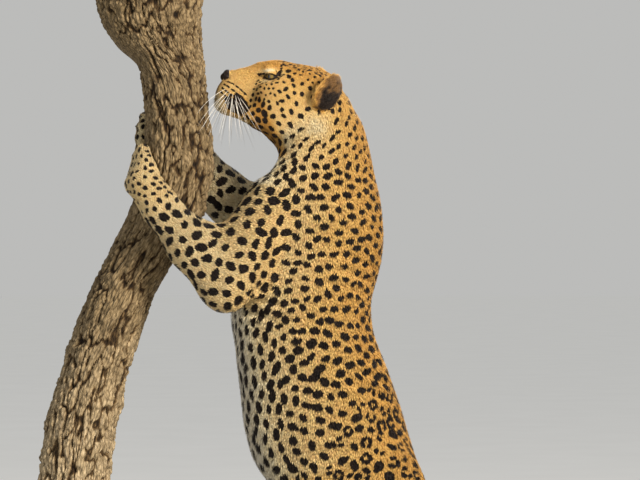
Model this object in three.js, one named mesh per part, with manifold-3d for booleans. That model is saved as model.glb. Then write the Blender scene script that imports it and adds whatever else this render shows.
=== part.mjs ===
// A life-size leopard that rears up against a cut length of tree trunk, on a plain display stand.
// Millimetres, +Z up. The origin is the middle of the underside of the base.
// The animal faces -X with its left side toward -Y. Every size goes out to the tips of the coat.
import * as THREE from "three";
import { mergeVertices } from "three/addons/utils/BufferGeometryUtils.js";
import { edgeTable, triTable } from "three/addons/objects/MarchingCubes.js";
import Module from "manifold-3d";

const wasm = await Module();
wasm.setup();

// Driving dimensions
const GAP = 0.3; // clearance between neighbouring pieces
const BASE = { length: 1160, width: 620, thickness: 30, bevel: 4 };
const FLOOR = BASE.thickness; // the level the hind feet stand on
const ROD = { radius: 13, offset: 36, collar: 24, collarHeight: 8 };
const NOSE_TIP = new THREE.Vector3(-80, 0, 1410);
const HEAD_PITCH = THREE.MathUtils.degToRad(20); // the nose is held up by this much
const EYE = { back: 104, up: 34, side: 38, radius: 17 };
const EAR = { back: 212, up: 40, side: 68, tall: 45, wide: 32, deep: 35, wall: 8, sides: 12 };
// The ears are held differently: the left one is laid back and the right one is pricked.
const EAR_POSE = {
  left: { facing: [-0.75, 0.28], lean: 0.4, back: 2, up: 0 },
  right: { facing: [-0.85, -0.2], lean: -0.25, back: -18, up: 7 },
};
const FUR_ROUGHNESS = 0.85;
const FIELD_STEP = 0.5; // the step that the surface direction is measured over

// The body is a field: a function of a point that is negative inside the animal and grows outward.
// Shapes are joined with a rounded valley instead of a sharp crease.
function blend(a, b, softness) {
  const h = Math.max(softness - Math.abs(a - b), 0) / softness;
  return Math.min(a, b) - (h * h * softness) / 4;
}

function blendAll(fields, softness) {
  return (x, y, z) => {
    let value = Infinity;
    for (const field of fields) {
      value = value === Infinity ? field(x, y, z) : blend(value, field(x, y, z), softness);
    }
    return value;
  };
}

// A tapered limb from a to b. Its radius across the side view is ra to rb, and its radius
// toward -Y and +Y is that times flat.
function limb(a, b, ra, rb, flat = 1) {
  const axis = [b[0] - a[0], b[1] - a[1], b[2] - a[2]];
  const lengthSq = axis[0] ** 2 + axis[1] ** 2 + axis[2] ** 2;
  return (x, y, z) => {
    const p = [x - a[0], y - a[1], z - a[2]];
    const along = (p[0] * axis[0] + p[1] * axis[1] + p[2] * axis[2]) / lengthSq;
    const t = Math.min(Math.max(along, 0), 1);
    const radius = ra + (rb - ra) * t;
    const off = [p[0] - axis[0] * t, (p[1] - axis[1] * t) / flat, p[2] - axis[2] * t];
    return (Math.hypot(off[0], off[1], off[2]) - radius) * Math.min(1, flat);
  };
}

// An ellipsoid of three half sizes, along the frame's own axes.
function bulk(centre, half) {
  const least = Math.min(...half);
  return (x, y, z) => {
    const u = (x - centre[0]) / half[0];
    const v = (y - centre[1]) / half[1];
    const w = (z - centre[2]) / half[2];
    return (Math.hypot(u, v, w) - 1) * least;
  };
}

// One value of the body stations at a height, on a smooth curve through the stations.
function stationAt(stations, height) {
  const last = stations.length - 1;
  let i = 0;
  while (i < last - 1 && height < stations[i + 1].height) i += 1;
  const [p0, p1, p2, p3] = [i - 1, i, i + 1, i + 2].map((k) => stations[Math.min(Math.max(k, 0), last)]);
  const t = THREE.MathUtils.clamp((p1.height - height) / (p1.height - p2.height), 0, 1);
  const value = (key) => {
    const slopeIn = (p2[key] - p0[key]) / 2;
    const slopeOut = (p3[key] - p1[key]) / 2;
    const rise = p2[key] - p1[key];
    const curve = (3 * rise - 2 * slopeIn - slopeOut) * t * t + (slopeIn + slopeOut - 2 * rise) * t ** 3;
    return p1[key] + slopeIn * t + curve;
  };
  return { front: value("front"), back: value("back"), half: value("half") };
}

// Neck, rib cage, belly and pelvis as level sections: the height of each, its foremost and
// rearmost x, and half its width.
const TORSO = [
  { height: 1275, front: 48, back: 221, half: 76 },
  { height: 1225, front: 42, back: 236, half: 82 },
  { height: 1139, front: 22, back: 256, half: 97 },
  { height: 1044, front: -22, back: 260, half: 108 },
  { height: 929, front: -57, back: 236, half: 112 },
  { height: 860, front: -56, back: 243, half: 114 },
  { height: 800, front: -49, back: 268, half: 115 },
  { height: 735, front: -41, back: 291, half: 116 },
  { height: 645, front: -27, back: 318, half: 113 },
  { height: 561, front: 10, back: 342, half: 104 },
  { height: 480, front: 100, back: 366, half: 92 },
];
const TORSO_TOP_CAP = 60;
const TORSO_BOTTOM_CAP = 75;

function torso(x, y, z) {
  const top = TORSO[0].height;
  const bottom = TORSO[TORSO.length - 1].height;
  const s = stationAt(TORSO, THREE.MathUtils.clamp(z, bottom, top));
  const depth = (s.back - s.front) / 2;
  const u = (x - (s.front + s.back) / 2) / depth;
  const v = y / s.half;
  const w = Math.max((z - top) / TORSO_TOP_CAP, (bottom - z) / TORSO_BOTTOM_CAP, 0);
  return (Math.hypot(u, v, w) - 1) * s.half;
}

// Joints of the limbs, measured in the side view. The third number is the height.
const LEFT_ARM = {
  side: -1,
  shoulder: [17, -85, 1139],
  elbow: [-67, -122, 975],
  wrist: [-199, -112, 1126],
  knuckles: [-240, -82, 1185],
  toes: [-268, -30, 1232],
};
const RIGHT_ARM = {
  side: 1,
  shoulder: [80, 80, 1180],
  elbow: [-13, 148, 1082],
  wrist: [-134, 115, 1231],
  knuckles: [-206, 90, 1272],
  toes: [-262, 40, 1290],
};
const LEFT_LEG = {
  side: -1,
  hip: [248, -70, 536],
  knee: [78, -100, 374],
  hock: [170, -105, 175],
  heads: [113, -108, 66],
  toes: [54, -110, 50],
};
const RIGHT_LEG = {
  side: 1,
  hip: [248, 70, 536],
  knee: [95, 100, 383],
  hock: [206, 105, 194],
  heads: [158, 106, 66],
  toes: [98, 108, 50],
};

function between(a, b, t) {
  return a.map((value, i) => value + (b[i] - value) * t);
}

function shifted(a, dx, dy, dz) {
  return [a[0] + dx, a[1] + dy, a[2] + dz];
}

function armFields(arm) {
  const { shoulder, elbow, wrist, knuckles, side } = arm;
  const blade = shifted(shoulder, 70, side * -12, 10);
  return [
    bulk(blade, [72, 34, 92]),
    limb(shifted(shoulder, 12, 0, 12), between(shoulder, elbow, 0.55), 56, 56, 0.85),
    limb(between(shoulder, elbow, 0.5), elbow, 56, 47, 0.9),
    limb(shifted(elbow, 24, 0, -2), shifted(elbow, -4, 0, -6), 34, 40, 0.85),
    limb(elbow, between(elbow, wrist, 0.55), 50, 48, 0.85),
    limb(between(elbow, wrist, 0.5), wrist, 49, 35, 0.88),
    limb(wrist, knuckles, 34, 33, 0.95),
  ];
}

function legFields(leg) {
  const { hip, knee, hock, heads, side } = leg;
  const buttock = shifted(hip, 62, side * -8, -60);
  return [
    limb(hip, between(hip, knee, 0.5), 104, 92, 0.62),
    limb(between(hip, knee, 0.5), knee, 88, 52, 0.68),
    limb(buttock, shifted(knee, 70, 0, -30), 58, 46, 0.8),
    limb(knee, between(knee, hock, 0.4), 50, 46, 0.78),
    limb(between(knee, hock, 0.35), hock, 44, 27, 0.82),
    limb(shifted(hock, 12, 0, 4), between(hock, heads, 0.3), 27, 24, 0.85),
    limb(hock, heads, 25, 27, 0.95),
  ];
}

// The tail hangs from the rump, reaches the base and lies on it in a curve with the tip raised.
const TAIL_PATH = new THREE.CatmullRomCurve3(
  [
    [318, 0, 470],
    [352, 2, 415],
    [392, 8, 320],
    [415, 22, 215],
    [438, 52, 120],
    [456, 102, 66],
    [452, 160, 54],
    [418, 212, 52],
    [362, 240, 54],
    [304, 246, 68],
    [262, 240, 98],
  ].map((p) => new THREE.Vector3(...p)),
);
const TAIL_ROOT_RADIUS = 40;
const TAIL_THIN_RADIUS = 23;
const TAIL_END_RADIUS = 20;
const TAIL_PIECES = 26;

function tailRadius(t) {
  const root = TAIL_THIN_RADIUS + (TAIL_ROOT_RADIUS - TAIL_THIN_RADIUS) * Math.max(0, 1 - t / 0.3) ** 1.4;
  return root + (TAIL_END_RADIUS - TAIL_THIN_RADIUS) * Math.max(0, (t - 0.7) / 0.3);
}

function tailFields() {
  const fields = [];
  for (let i = 0; i < TAIL_PIECES; i += 1) {
    const from = TAIL_PATH.getPoint(i / TAIL_PIECES).toArray();
    const to = TAIL_PATH.getPoint((i + 1) / TAIL_PIECES).toArray();
    fields.push(limb(from, to, tailRadius(i / TAIL_PIECES), tailRadius((i + 1) / TAIL_PIECES)));
  }
  return (x, y, z) => Math.min(...fields.map((field) => field(x, y, z)));
}

// A point given in the head's own directions: back from the nose tip, up and to the side.
const HEAD_BACK = new THREE.Vector3(Math.cos(HEAD_PITCH), 0, -Math.sin(HEAD_PITCH));
const HEAD_UP = new THREE.Vector3(Math.sin(HEAD_PITCH), 0, Math.cos(HEAD_PITCH));

function headPoint(back, up, side) {
  return NOSE_TIP.clone()
    .addScaledVector(HEAD_BACK, back)
    .addScaledVector(HEAD_UP, up)
    .add(new THREE.Vector3(0, side, 0));
}

// A field written in head directions, as a field of the world.
function inHead(field) {
  return (x, y, z) => {
    const dx = x - NOSE_TIP.x;
    const dz = z - NOSE_TIP.z;
    return field(dx * HEAD_BACK.x + dz * HEAD_BACK.z, y, dx * HEAD_UP.x + dz * HEAD_UP.z);
  };
}

// The skull and its muscle, as [back, side, up] in head directions.
function headField() {
  const middle = [
    bulk([152, 0, 21], [80, 60, 56]),
    bulk([110, 0, 33], [46, 46, 38]),
    limb([27, 0, 3], [48, 0, 10], 17, 21, 0.95),
    limb([46, 0, 8], [76, 0, 27], 19, 28, 1),
    bulk([44, 0, -18], [38, 38, 40]),
    bulk([29, 0, -50], [28, 27, 22]),
    limb([100, 0, -30], [165, 0, -48], 44, 50, 1),
    limb([180, 0, 0], [205, 0, -30], 70, 82, 0.9),
  ];
  const paired = [-1, 1].flatMap((side) => [
    bulk([30, side * 22, -27], [30, 24, 25]),
    limb([34, side * 14, -54], [108, side * 38, -50], 18, 28),
    limb([108, side * 38, -50], [152, side * 46, -48], 28, 40),
    bulk([140, side * 46, -10], [54, 42, 48]),
    limb([80, side * 26, -12], [128, side * 54, 4], 23, 30),
    bulk([166, side * 30, 38], [48, 38, 39]),
    limb([97, side * 34, 49], [124, side * 42, 39], 14, 18),
  ]);
  const solid = blendAll([...middle, ...paired], 16);
  const sockets = [-1, 1].map((side) => bulk([88, side * 56, 31], [27, 18, 16]));
  const notch = blendAll(sockets, 1);
  return inHead((back, side, up) => -blend(-solid(back, side, up), notch(back, side, up), 8));
}

// Each toe of a paw runs from its own knuckle to its own tip, spread across the paw.
const TOE_PLACES = [-1.5, -0.5, 0.5, 1.5];

// The tree trunk: points of its axis in the side view and its radius there.
const PERCH = [
  [-421, 120, 77],
  [-414, 225, 76],
  [-404, 393, 75],
  [-390, 561, 73],
  [-371, 708, 71],
  [-332, 845, 66],
  [-296, 939, 64],
  [-254, 1023, 64],
  [-206, 1103, 71],
  [-171, 1181, 78],
  [-171, 1254, 72],
  [-177, 1359, 65],
  [-184, 1422, 66],
  [-193, 1464, 74],
  [-207, 1496, 89],
  [-221, 1530, 101],
  [-231, 1569, 110],
  [-235, 1592, 114],
];
const PERCH_AXIS = new THREE.CatmullRomCurve3(PERCH.map(([x, z]) => new THREE.Vector3(x, 0, z)));
const PERCH_SIDES = 12;
const PERCH_RINGS = 18;
const PERCH_WAVE = 0.035; // how far the trunk's section strays from round, as a share of its radius

function perchRadius(t) {
  const place = t * (PERCH.length - 1);
  const i = Math.min(Math.floor(place), PERCH.length - 2);
  const s = place - i;
  const ease = s * s * (3 - 2 * s);
  return PERCH[i][2] + (PERCH[i + 1][2] - PERCH[i][2]) * ease;
}

// The nearest place on the trunk's axis to a height, as a share of the curve.
function perchShare(height) {
  let low = 0;
  let high = 1;
  for (let i = 0; i < 24; i += 1) {
    const middle = (low + high) / 2;
    if (PERCH_AXIS.getPoint(middle).z < height) low = middle;
    else high = middle;
  }
  return (low + high) / 2;
}

// Moves a point straight out from the trunk's axis until it is so far above the bark.
function aboveBark(point, clearance) {
  const share = perchShare(point[2]);
  const axis = PERCH_AXIS.getPoint(share);
  const tangent = PERCH_AXIS.getTangent(share);
  const out = new THREE.Vector3(...point).sub(axis);
  out.addScaledVector(tangent, -out.dot(tangent));
  const distance = perchRadius(share) + clearance - out.length();
  const moved = new THREE.Vector3(...point).addScaledVector(out.normalize(), distance);
  return { point: moved.toArray(), out };
}

function foreToes(arm) {
  const middle = new THREE.Vector3(...arm.knuckles);
  const reach = new THREE.Vector3(...arm.toes).sub(middle).normalize();
  const { out } = aboveBark(arm.knuckles, 0);
  const across = new THREE.Vector3().crossVectors(reach, out).normalize();
  return TOE_PLACES.map((place) => {
    const shorter = Math.abs(place) > 1 ? 9 : 0;
    const root = new THREE.Vector3(...arm.knuckles).addScaledVector(across, place * 20);
    const end = new THREE.Vector3(...arm.toes).addScaledVector(across, place * 24);
    end.addScaledVector(reach, -shorter);
    const bend = root.clone().lerp(end, 0.55);
    return {
      root: aboveBark(root.toArray(), 27).point,
      bend: aboveBark(bend.toArray(), 26).point,
      tip: aboveBark(end.toArray(), 15).point,
      reach: reach.clone(),
      out: aboveBark(end.toArray(), 0).out,
    };
  });
}

function hindToes(leg) {
  return TOE_PLACES.map((place) => {
    const shorter = Math.abs(place) > 1 ? 10 : 0;
    const root = shifted(leg.heads, -10, place * 19, -2);
    const bend = shifted(leg.toes, 24 + shorter, place * 22, 2);
    const tip = shifted(leg.toes, shorter, place * 23, -4);
    return {
      root,
      bend,
      tip,
      reach: new THREE.Vector3(-1, 0, -0.35).normalize(),
      out: new THREE.Vector3(0, 0, 1),
    };
  });
}

// The palm of each paw. The toes are joined on later.
function forePalm(arm) {
  const heart = aboveBark(between(arm.wrist, arm.knuckles, 0.6), 32).point;
  const bones = foreToes(arm).map((toe) => limb(heart, between(toe.root, toe.bend, 0.62), 25, 21));
  return blendAll([limb(arm.wrist, heart, 34, 34), ...bones], 14);
}

function hindPalm(leg) {
  return limb(leg.heads, shifted(leg.toes, 34, 0, 4), 27, 25, 1.42);
}

const headShape = headField();
const tailShape = tailFields();
const neckShape = blendAll(
  [limb([140, 0, 1240], [116, 0, 1345], 88, 73, 0.88), limb([150, 0, 1290], [120, 0, 1350], 58, 52, 0.9)],
  24,
);

const bodyShape = blendAll(
  [
    torso,
    neckShape,
    headShape,
    blendAll(armFields(LEFT_ARM), 34),
    blendAll(armFields(RIGHT_ARM), 34),
    blendAll(legFields(LEFT_LEG), 34),
    blendAll(legFields(RIGHT_LEG), 34),
    tailShape,
    forePalm(LEFT_ARM),
    forePalm(RIGHT_ARM),
    hindPalm(LEFT_LEG),
    hindPalm(RIGHT_LEG),
  ],
  26,
);

// Turns the zero surface of a field into a closed mesh with vertices about one cell apart.
function surfaceOf(field, box, cell) {
  const counts = [0, 1, 2].map((i) => Math.ceil((box.max[i] - box.min[i]) / cell) + 1);
  const place = (i, j, k) => [box.min[0] + i * cell, box.min[1] + j * cell, box.min[2] + k * cell];
  const index = (i, j, k) => i + counts[0] * (j + counts[1] * k);
  const values = new Float64Array(counts[0] * counts[1] * counts[2]);
  for (let k = 0; k < counts[2]; k += 1) {
    for (let j = 0; j < counts[1]; j += 1) {
      for (let i = 0; i < counts[0]; i += 1) {
        const edge = [i, j, k].some((n, axis) => n === 0 || n === counts[axis] - 1);
        // The rim of the box counts as outside, which closes the mesh there.
        values[index(i, j, k)] = edge ? cell : field(...place(i, j, k));
      }
    }
  }
  const CORNERS = [[0, 0, 0], [1, 0, 0], [1, 1, 0], [0, 1, 0], [0, 0, 1], [1, 0, 1], [1, 1, 1], [0, 1, 1]];
  const EDGES = [
    [0, 1], [1, 2], [3, 2], [0, 3], [4, 5], [5, 6], [7, 6], [4, 7], [0, 4], [1, 5], [2, 6], [3, 7],
  ];
  const points = [];
  const faces = [];
  const found = new Map();
  const crossing = (a, b) => {
    const key = index(...a) * counts[0] * counts[1] * counts[2] + index(...b);
    if (!found.has(key)) {
      const va = values[index(...a)];
      const vb = values[index(...b)];
      const t = THREE.MathUtils.clamp(va / (va - vb), 0.02, 0.98);
      const pa = place(...a);
      const pb = place(...b);
      found.set(key, points.length);
      points.push(between(pa, pb, t));
    }
    return found.get(key);
  };
  for (let k = 0; k < counts[2] - 1; k += 1) {
    for (let j = 0; j < counts[1] - 1; j += 1) {
      for (let i = 0; i < counts[0] - 1; i += 1) {
        const corners = CORNERS.map((c) => [i + c[0], j + c[1], k + c[2]]);
        let kind = 0;
        corners.forEach((c, n) => {
          if (values[index(...c)] < 0) kind |= 1 << n;
        });
        if (edgeTable[kind] === 0) continue;
        for (let n = kind * 16; triTable[n] !== -1; n += 3) {
          const face = [0, 1, 2].map((m) => {
            const [a, b] = EDGES[triTable[n + m]];
            return crossing(corners[a], corners[b]);
          });
          faces.push(face);
        }
      }
    }
  }
  return { points, faces };
}

// Spreads the vertices evenly over the surface and puts each one back on it.
function relax(mesh, field, box, cell, rounds) {
  const near = mesh.points.map(() => new Set());
  for (const [a, b, c] of mesh.faces) {
    near[a].add(b).add(c);
    near[b].add(a).add(c);
    near[c].add(a).add(b);
  }
  const closedField = (x, y, z) => {
    const inner = [x, y, z].map((v, i) => Math.max(box.min[i] + cell / 2 - v, v - box.max[i] + cell));
    return Math.max(field(x, y, z), ...inner);
  };
  for (let round = 0; round < rounds; round += 1) {
    const moved = mesh.points.map((p, n) => {
      const mean = [0, 0, 0];
      for (const m of near[n]) mesh.points[m].forEach((v, i) => (mean[i] += v / near[n].size));
      return between(p, mean, round < rounds - 1 ? 0.5 : 0);
    });
    mesh.points = moved.map((p) => {
      const value = closedField(...p);
      const slope = [0, 1, 2].map((i) => {
        const q = [...p];
        q[i] += FIELD_STEP;
        return (closedField(...q) - value) / FIELD_STEP;
      });
      const steep = Math.max(slope[0] ** 2 + slope[1] ** 2 + slope[2] ** 2, 0.05);
      const step = THREE.MathUtils.clamp(value / steep, -cell / 2, cell / 2);
      return p.map((v, i) => v - step * slope[i]);
    });
  }
}

function solidFromMesh(points, faces) {
  const made = (list) =>
    new wasm.Manifold(
      new wasm.Mesh({
        numProp: 3,
        vertProperties: new Float32Array(points.flat()),
        triVerts: new Uint32Array(list.flat()),
      }),
    );
  const solid = made(faces);
  return solid.volume() < 0 ? made(faces.map(([a, b, c]) => [a, c, b])) : solid;
}

function solidFromField(field, min, max, cell) {
  const box = { min, max };
  const mesh = surfaceOf(field, box, cell);
  relax(mesh, field, box, cell, 7);
  return solidFromMesh(mesh.points, mesh.faces);
}

function solidFromGeometry(geometry) {
  const bare = geometry.index ? geometry.toNonIndexed() : geometry.clone();
  bare.deleteAttribute("normal");
  bare.deleteAttribute("uv");
  const merged = mergeVertices(bare, 1e-3);
  return new wasm.Manifold(
    new wasm.Mesh({
      numProp: 3,
      vertProperties: new Float32Array(merged.attributes.position.array),
      triVerts: new Uint32Array(merged.index.array),
    }),
  );
}

// A cut: a plane through a point, with the side that its normal points to.
function plane(point, normal) {
  return { point: new THREE.Vector3(...point), normal: new THREE.Vector3(...normal).normalize() };
}

function flipped(cut) {
  return { point: cut.point, normal: cut.normal.clone().negate() };
}

// A very large block on the normal's side of a cut, moved along the normal by a distance.
const HUGE = 6000;

function blockBeyond(cut, distance) {
  const block = new THREE.BoxGeometry(HUGE, HUGE, HUGE);
  block.translate(0, 0, HUGE / 2 + distance);
  const turn = new THREE.Quaternion().setFromUnitVectors(new THREE.Vector3(0, 0, 1), cut.normal);
  block.applyQuaternion(turn);
  block.translate(cut.point.x, cut.point.y, cut.point.z);
  return solidFromGeometry(block);
}

// The space on the normal side of every cut in the list.
function region(cuts, distance) {
  return cuts.map((cut) => blockBeyond(cut, distance)).reduce((a, b) => a.intersect(b));
}

function keepSide(solid, cuts) {
  return cuts.reduce((rest, cut) => rest.intersect(blockBeyond(cut, GAP / 2)), solid);
}

function removeRegions(solid, regions) {
  return regions.reduce((rest, cuts) => rest.subtract(region(cuts, -GAP / 2)), solid);
}

function largestBody(solid) {
  return solid.decompose().sort((a, b) => b.volume() - a.volume())[0];
}

// The planes that part the body
const HEAD_CUT_POINT = headPoint(192, -20, 0).toArray();
const HEAD_CUT_NORMAL = HEAD_BACK.clone().multiplyScalar(0.85).addScaledVector(HEAD_UP, -0.52).toArray();
const NECK_CUT = plane(HEAD_CUT_POINT, HEAD_CUT_NORMAL);
const CHEST_CUT = plane([50, 0, 1244], [-0.21, 0, -0.98]);
const BELLY_CUT = plane([-55, 0, 862], [0.06, 0, -1]);
const HIP_CUT = plane([0, 0, 598], [0.16, 0, -1]);
const GROUND = plane([0, 0, FLOOR + GAP / 2], [0, 0, 1]);
const TAIL_CUTS = [0.1, 0.4, 0.72].map((t) =>
  plane(TAIL_PATH.getPoint(t).toArray(), TAIL_PATH.getTangent(t).toArray()),
);
const MOUTH_CUT = plane(headPoint(10, -50, 0).toArray(), HEAD_UP.clone().negate().toArray());
const JAW_CUT = plane(
  headPoint(92, -52, 0).toArray(),
  HEAD_BACK.clone().multiplyScalar(-0.8).addScaledVector(HEAD_UP, -0.6).toArray(),
);

function direction(a, b) {
  return new THREE.Vector3(...b).sub(new THREE.Vector3(...a)).normalize();
}

// Where two lengths of a limb meet, the cut halves the angle between them.
function bendCut(before, joint, after) {
  const normal = direction(joint, after).sub(direction(joint, before));
  return plane(joint, normal.toArray());
}

function armCuts(arm) {
  const down = direction(arm.shoulder, arm.elbow);
  const middle = between(arm.shoulder, arm.elbow, 0.5);
  const inner = shifted(middle, 30, arm.side * -40, 0);
  return {
    region: [
      plane(inner, [-0.6, arm.side * 0.8, 0.18]),
      plane(shifted(arm.elbow, 0, 0, -78), [0, 0, 1]),
      plane(shifted(arm.shoulder, ...down.clone().multiplyScalar(-34).toArray()), down.toArray()),
    ],
    elbow: bendCut(arm.shoulder, arm.elbow, arm.wrist),
    wrist: plane(arm.wrist, direction(arm.elbow, arm.wrist).toArray()),
  };
}

function legCuts(leg) {
  return {
    region: [plane([0, leg.side * 36, 0], [0, leg.side, 0]), plane([17, 0, 560], [0.25, 0, -0.97])],
    knee: bendCut(leg.hip, leg.knee, leg.hock),
    hock: plane(shifted(leg.hock, 0, 0, 34), [0.1, 0, -1]),
  };
}

const CUTS = {
  leftArm: armCuts(LEFT_ARM),
  rightArm: armCuts(RIGHT_ARM),
  leftLeg: legCuts(LEFT_LEG),
  rightLeg: legCuts(RIGHT_LEG),
};

const group = new THREE.Group();

function addMesh(name, solid, color, roughness, metalness = 0) {
  const data = largestBody(solid).getMesh();
  const geometry = new THREE.BufferGeometry();
  geometry.setAttribute("position", new THREE.BufferAttribute(new Float32Array(data.vertProperties), 3));
  geometry.setIndex(new THREE.BufferAttribute(new Uint32Array(data.triVerts), 1));
  geometry.computeVertexNormals();
  const material = new THREE.MeshStandardMaterial({ color, roughness, metalness });
  const mesh = new THREE.Mesh(geometry, material);
  mesh.name = name;
  group.add(mesh);
}

const COAT = "#d9a85e";
const COAT_PALE = "#e6cfa0";
const COAT_WHITE = "#efe6d4";
const CELL = { head: 18.5, trunk: 49, limb: 36, shank: 31, paw: 27.5 };

// The perch: level rings of the trunk, closed at both cut ends.
function perchSolid(grown) {
  const points = [];
  const faces = [];
  for (let ring = 0; ring <= PERCH_RINGS; ring += 1) {
    const t = ring / PERCH_RINGS;
    const centre = PERCH_AXIS.getPoint(t);
    const tangent = PERCH_AXIS.getTangent(t);
    if (ring === 0 || ring === PERCH_RINGS) tangent.set(0, 0, 1);
    const across = new THREE.Vector3(tangent.z, 0, -tangent.x);
    for (let n = 0; n < PERCH_SIDES; n += 1) {
      const angle = (n / PERCH_SIDES) * 2 * Math.PI;
      const wave = 1 + PERCH_WAVE * (Math.sin(2 * angle + t * 9) + 0.6 * Math.sin(3 * angle - t * 17));
      const radius = perchRadius(t) * wave + grown;
      const p = centre.clone().addScaledVector(across, Math.cos(angle) * radius);
      points.push([p.x, Math.sin(angle) * radius, p.z]);
    }
  }
  const bottom = points.length;
  points.push(PERCH_AXIS.getPoint(0).toArray());
  points.push(PERCH_AXIS.getPoint(1).toArray());
  for (let n = 0; n < PERCH_SIDES; n += 1) {
    const next = (n + 1) % PERCH_SIDES;
    faces.push([bottom, n, next]);
    const top = PERCH_RINGS * PERCH_SIDES;
    faces.push([bottom + 1, top + next, top + n]);
    for (let ring = 0; ring < PERCH_RINGS; ring += 1) {
      const a = ring * PERCH_SIDES;
      const b = a + PERCH_SIDES;
      faces.push([a + n, b + n, b + next]);
      faces.push([a + n, b + next, a + next]);
    }
  }
  return solidFromMesh(points, faces);
}

const barkClearance = perchSolid(GAP);

// A closed rod of rings square to its own path, with a point beyond each end.
// side is the direction that every ring's width lies nearest to, and flat is that width over the depth.
function bentRod(centres, radii, ends, side, flat, sides) {
  const points = [];
  const faces = [];
  const last = centres.length - 1;
  centres.forEach((centre, ring) => {
    const before = centres[Math.max(ring - 1, 0)];
    const after = centres[Math.min(ring + 1, last)];
    const along = after.clone().sub(before).normalize();
    const depth = new THREE.Vector3().crossVectors(along, side).normalize();
    const width = new THREE.Vector3().crossVectors(depth, along);
    for (let n = 0; n < sides; n += 1) {
      const angle = ((n + 0.5) / sides) * 2 * Math.PI;
      const p = centre.clone().addScaledVector(width, Math.cos(angle) * radii[ring] * flat);
      points.push(p.addScaledVector(depth, Math.sin(angle) * radii[ring]).toArray());
    }
  });
  const butt = points.length;
  points.push(ends[0].toArray(), ends[1].toArray());
  for (let n = 0; n < sides; n += 1) {
    const next = (n + 1) % sides;
    faces.push([butt, next, n]);
    faces.push([butt + 1, last * sides + n, last * sides + next]);
    for (let ring = 0; ring < last; ring += 1) {
      const a = ring * sides;
      const b = a + sides;
      faces.push([a + n, a + next, b + next]);
      faces.push([a + n, b + next, b + n]);
    }
  }
  return solidFromMesh(points, faces);
}

// A claw: a thin horn that curves over from the toe's end toward its point.
const CLAW = { length: 25, drop: 12, root: 4.6, lift: 3, flat: 0.6, sides: 4, rings: 3 };

function clawSolid(toe) {
  const side = new THREE.Vector3().crossVectors(toe.reach, toe.out).normalize();
  const out = toe.out.clone().normalize();
  const start = new THREE.Vector3(...toe.tip).addScaledVector(out, CLAW.lift);
  const along = (t) => {
    const p = start.clone().addScaledVector(toe.reach, CLAW.length * t);
    return p.addScaledVector(out, -CLAW.drop * t * t);
  };
  const shares = Array.from({ length: CLAW.rings }, (_, ring) => ring / CLAW.rings);
  const radii = shares.map((t) => CLAW.root * (1 - t) ** 0.8);
  return bentRod(shares.map(along), radii, [start, along(1)], side, CLAW.flat, CLAW.sides);
}

// A toe: from its knuckle over the bend to a round end.
const TOE = { fore: 18.5, hind: 16, flat: 0.9, sides: 5 };

function toeSolid(toe, radius) {
  const side = new THREE.Vector3().crossVectors(toe.reach, toe.out).normalize();
  const [root, bend, tip] = [toe.root, toe.bend, toe.tip].map((p) => new THREE.Vector3(...p));
  const last = tip.clone().sub(bend).normalize();
  const first = bend.clone().sub(root).normalize();
  const centres = [
    root.clone().addScaledVector(first, -radius * 0.6),
    root.clone().lerp(bend, 0.5),
    bend,
    tip,
    tip.clone().addScaledVector(last, radius * 0.6),
  ];
  const radii = [0.7, 1, 1.06, 0.95, 0.68].map((share) => share * radius);
  const ends = [
    root.clone().addScaledVector(first, -radius),
    tip.clone().addScaledVector(last, radius * 0.9),
  ];
  return bentRod(centres, radii, ends, side, TOE.flat, TOE.sides);
}

function withToes(solid, toes, radius) {
  return toes.reduce((rest, toe) => rest.add(toeSolid(toe, radius)), solid);
}

// The claws stand clear of their toes, the bark and the base.
function addClaws(toes, radius, prefix) {
  toes.forEach((toe, n) => {
    const bare = toes.reduce((rest, near) => rest.subtract(toeSolid(near, radius + GAP)), clawSolid(toe));
    const claw = keepSide(bare.subtract(barkClearance), [GROUND]);
    addMesh(prefix + "_claw_" + (n + 1), claw, "#4b4036", 0.4);
  });
}

// Head, lower jaw, nose pad, eyes and ears

function ball(centre, radii, detail) {
  const ballShape = new THREE.SphereGeometry(1, detail, Math.round(detail * 0.6));
  ballShape.scale(...radii);
  ballShape.translate(...centre);
  return solidFromGeometry(ballShape);
}

function turnedBall(radii, detail) {
  const shape = new THREE.SphereGeometry(1, detail, Math.round(detail * 0.6));
  shape.scale(...radii);
  shape.rotateY(HEAD_PITCH);
  return shape;
}

const NOSE_PAD = { back: 15, up: 5.5, radii: [15, 20, 14] };

function nosePad(grown) {
  const shape = turnedBall(NOSE_PAD.radii.map((r) => r + grown), 10);
  shape.translate(...headPoint(NOSE_PAD.back, NOSE_PAD.up, 0).toArray());
  return solidFromGeometry(shape);
}

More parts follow.
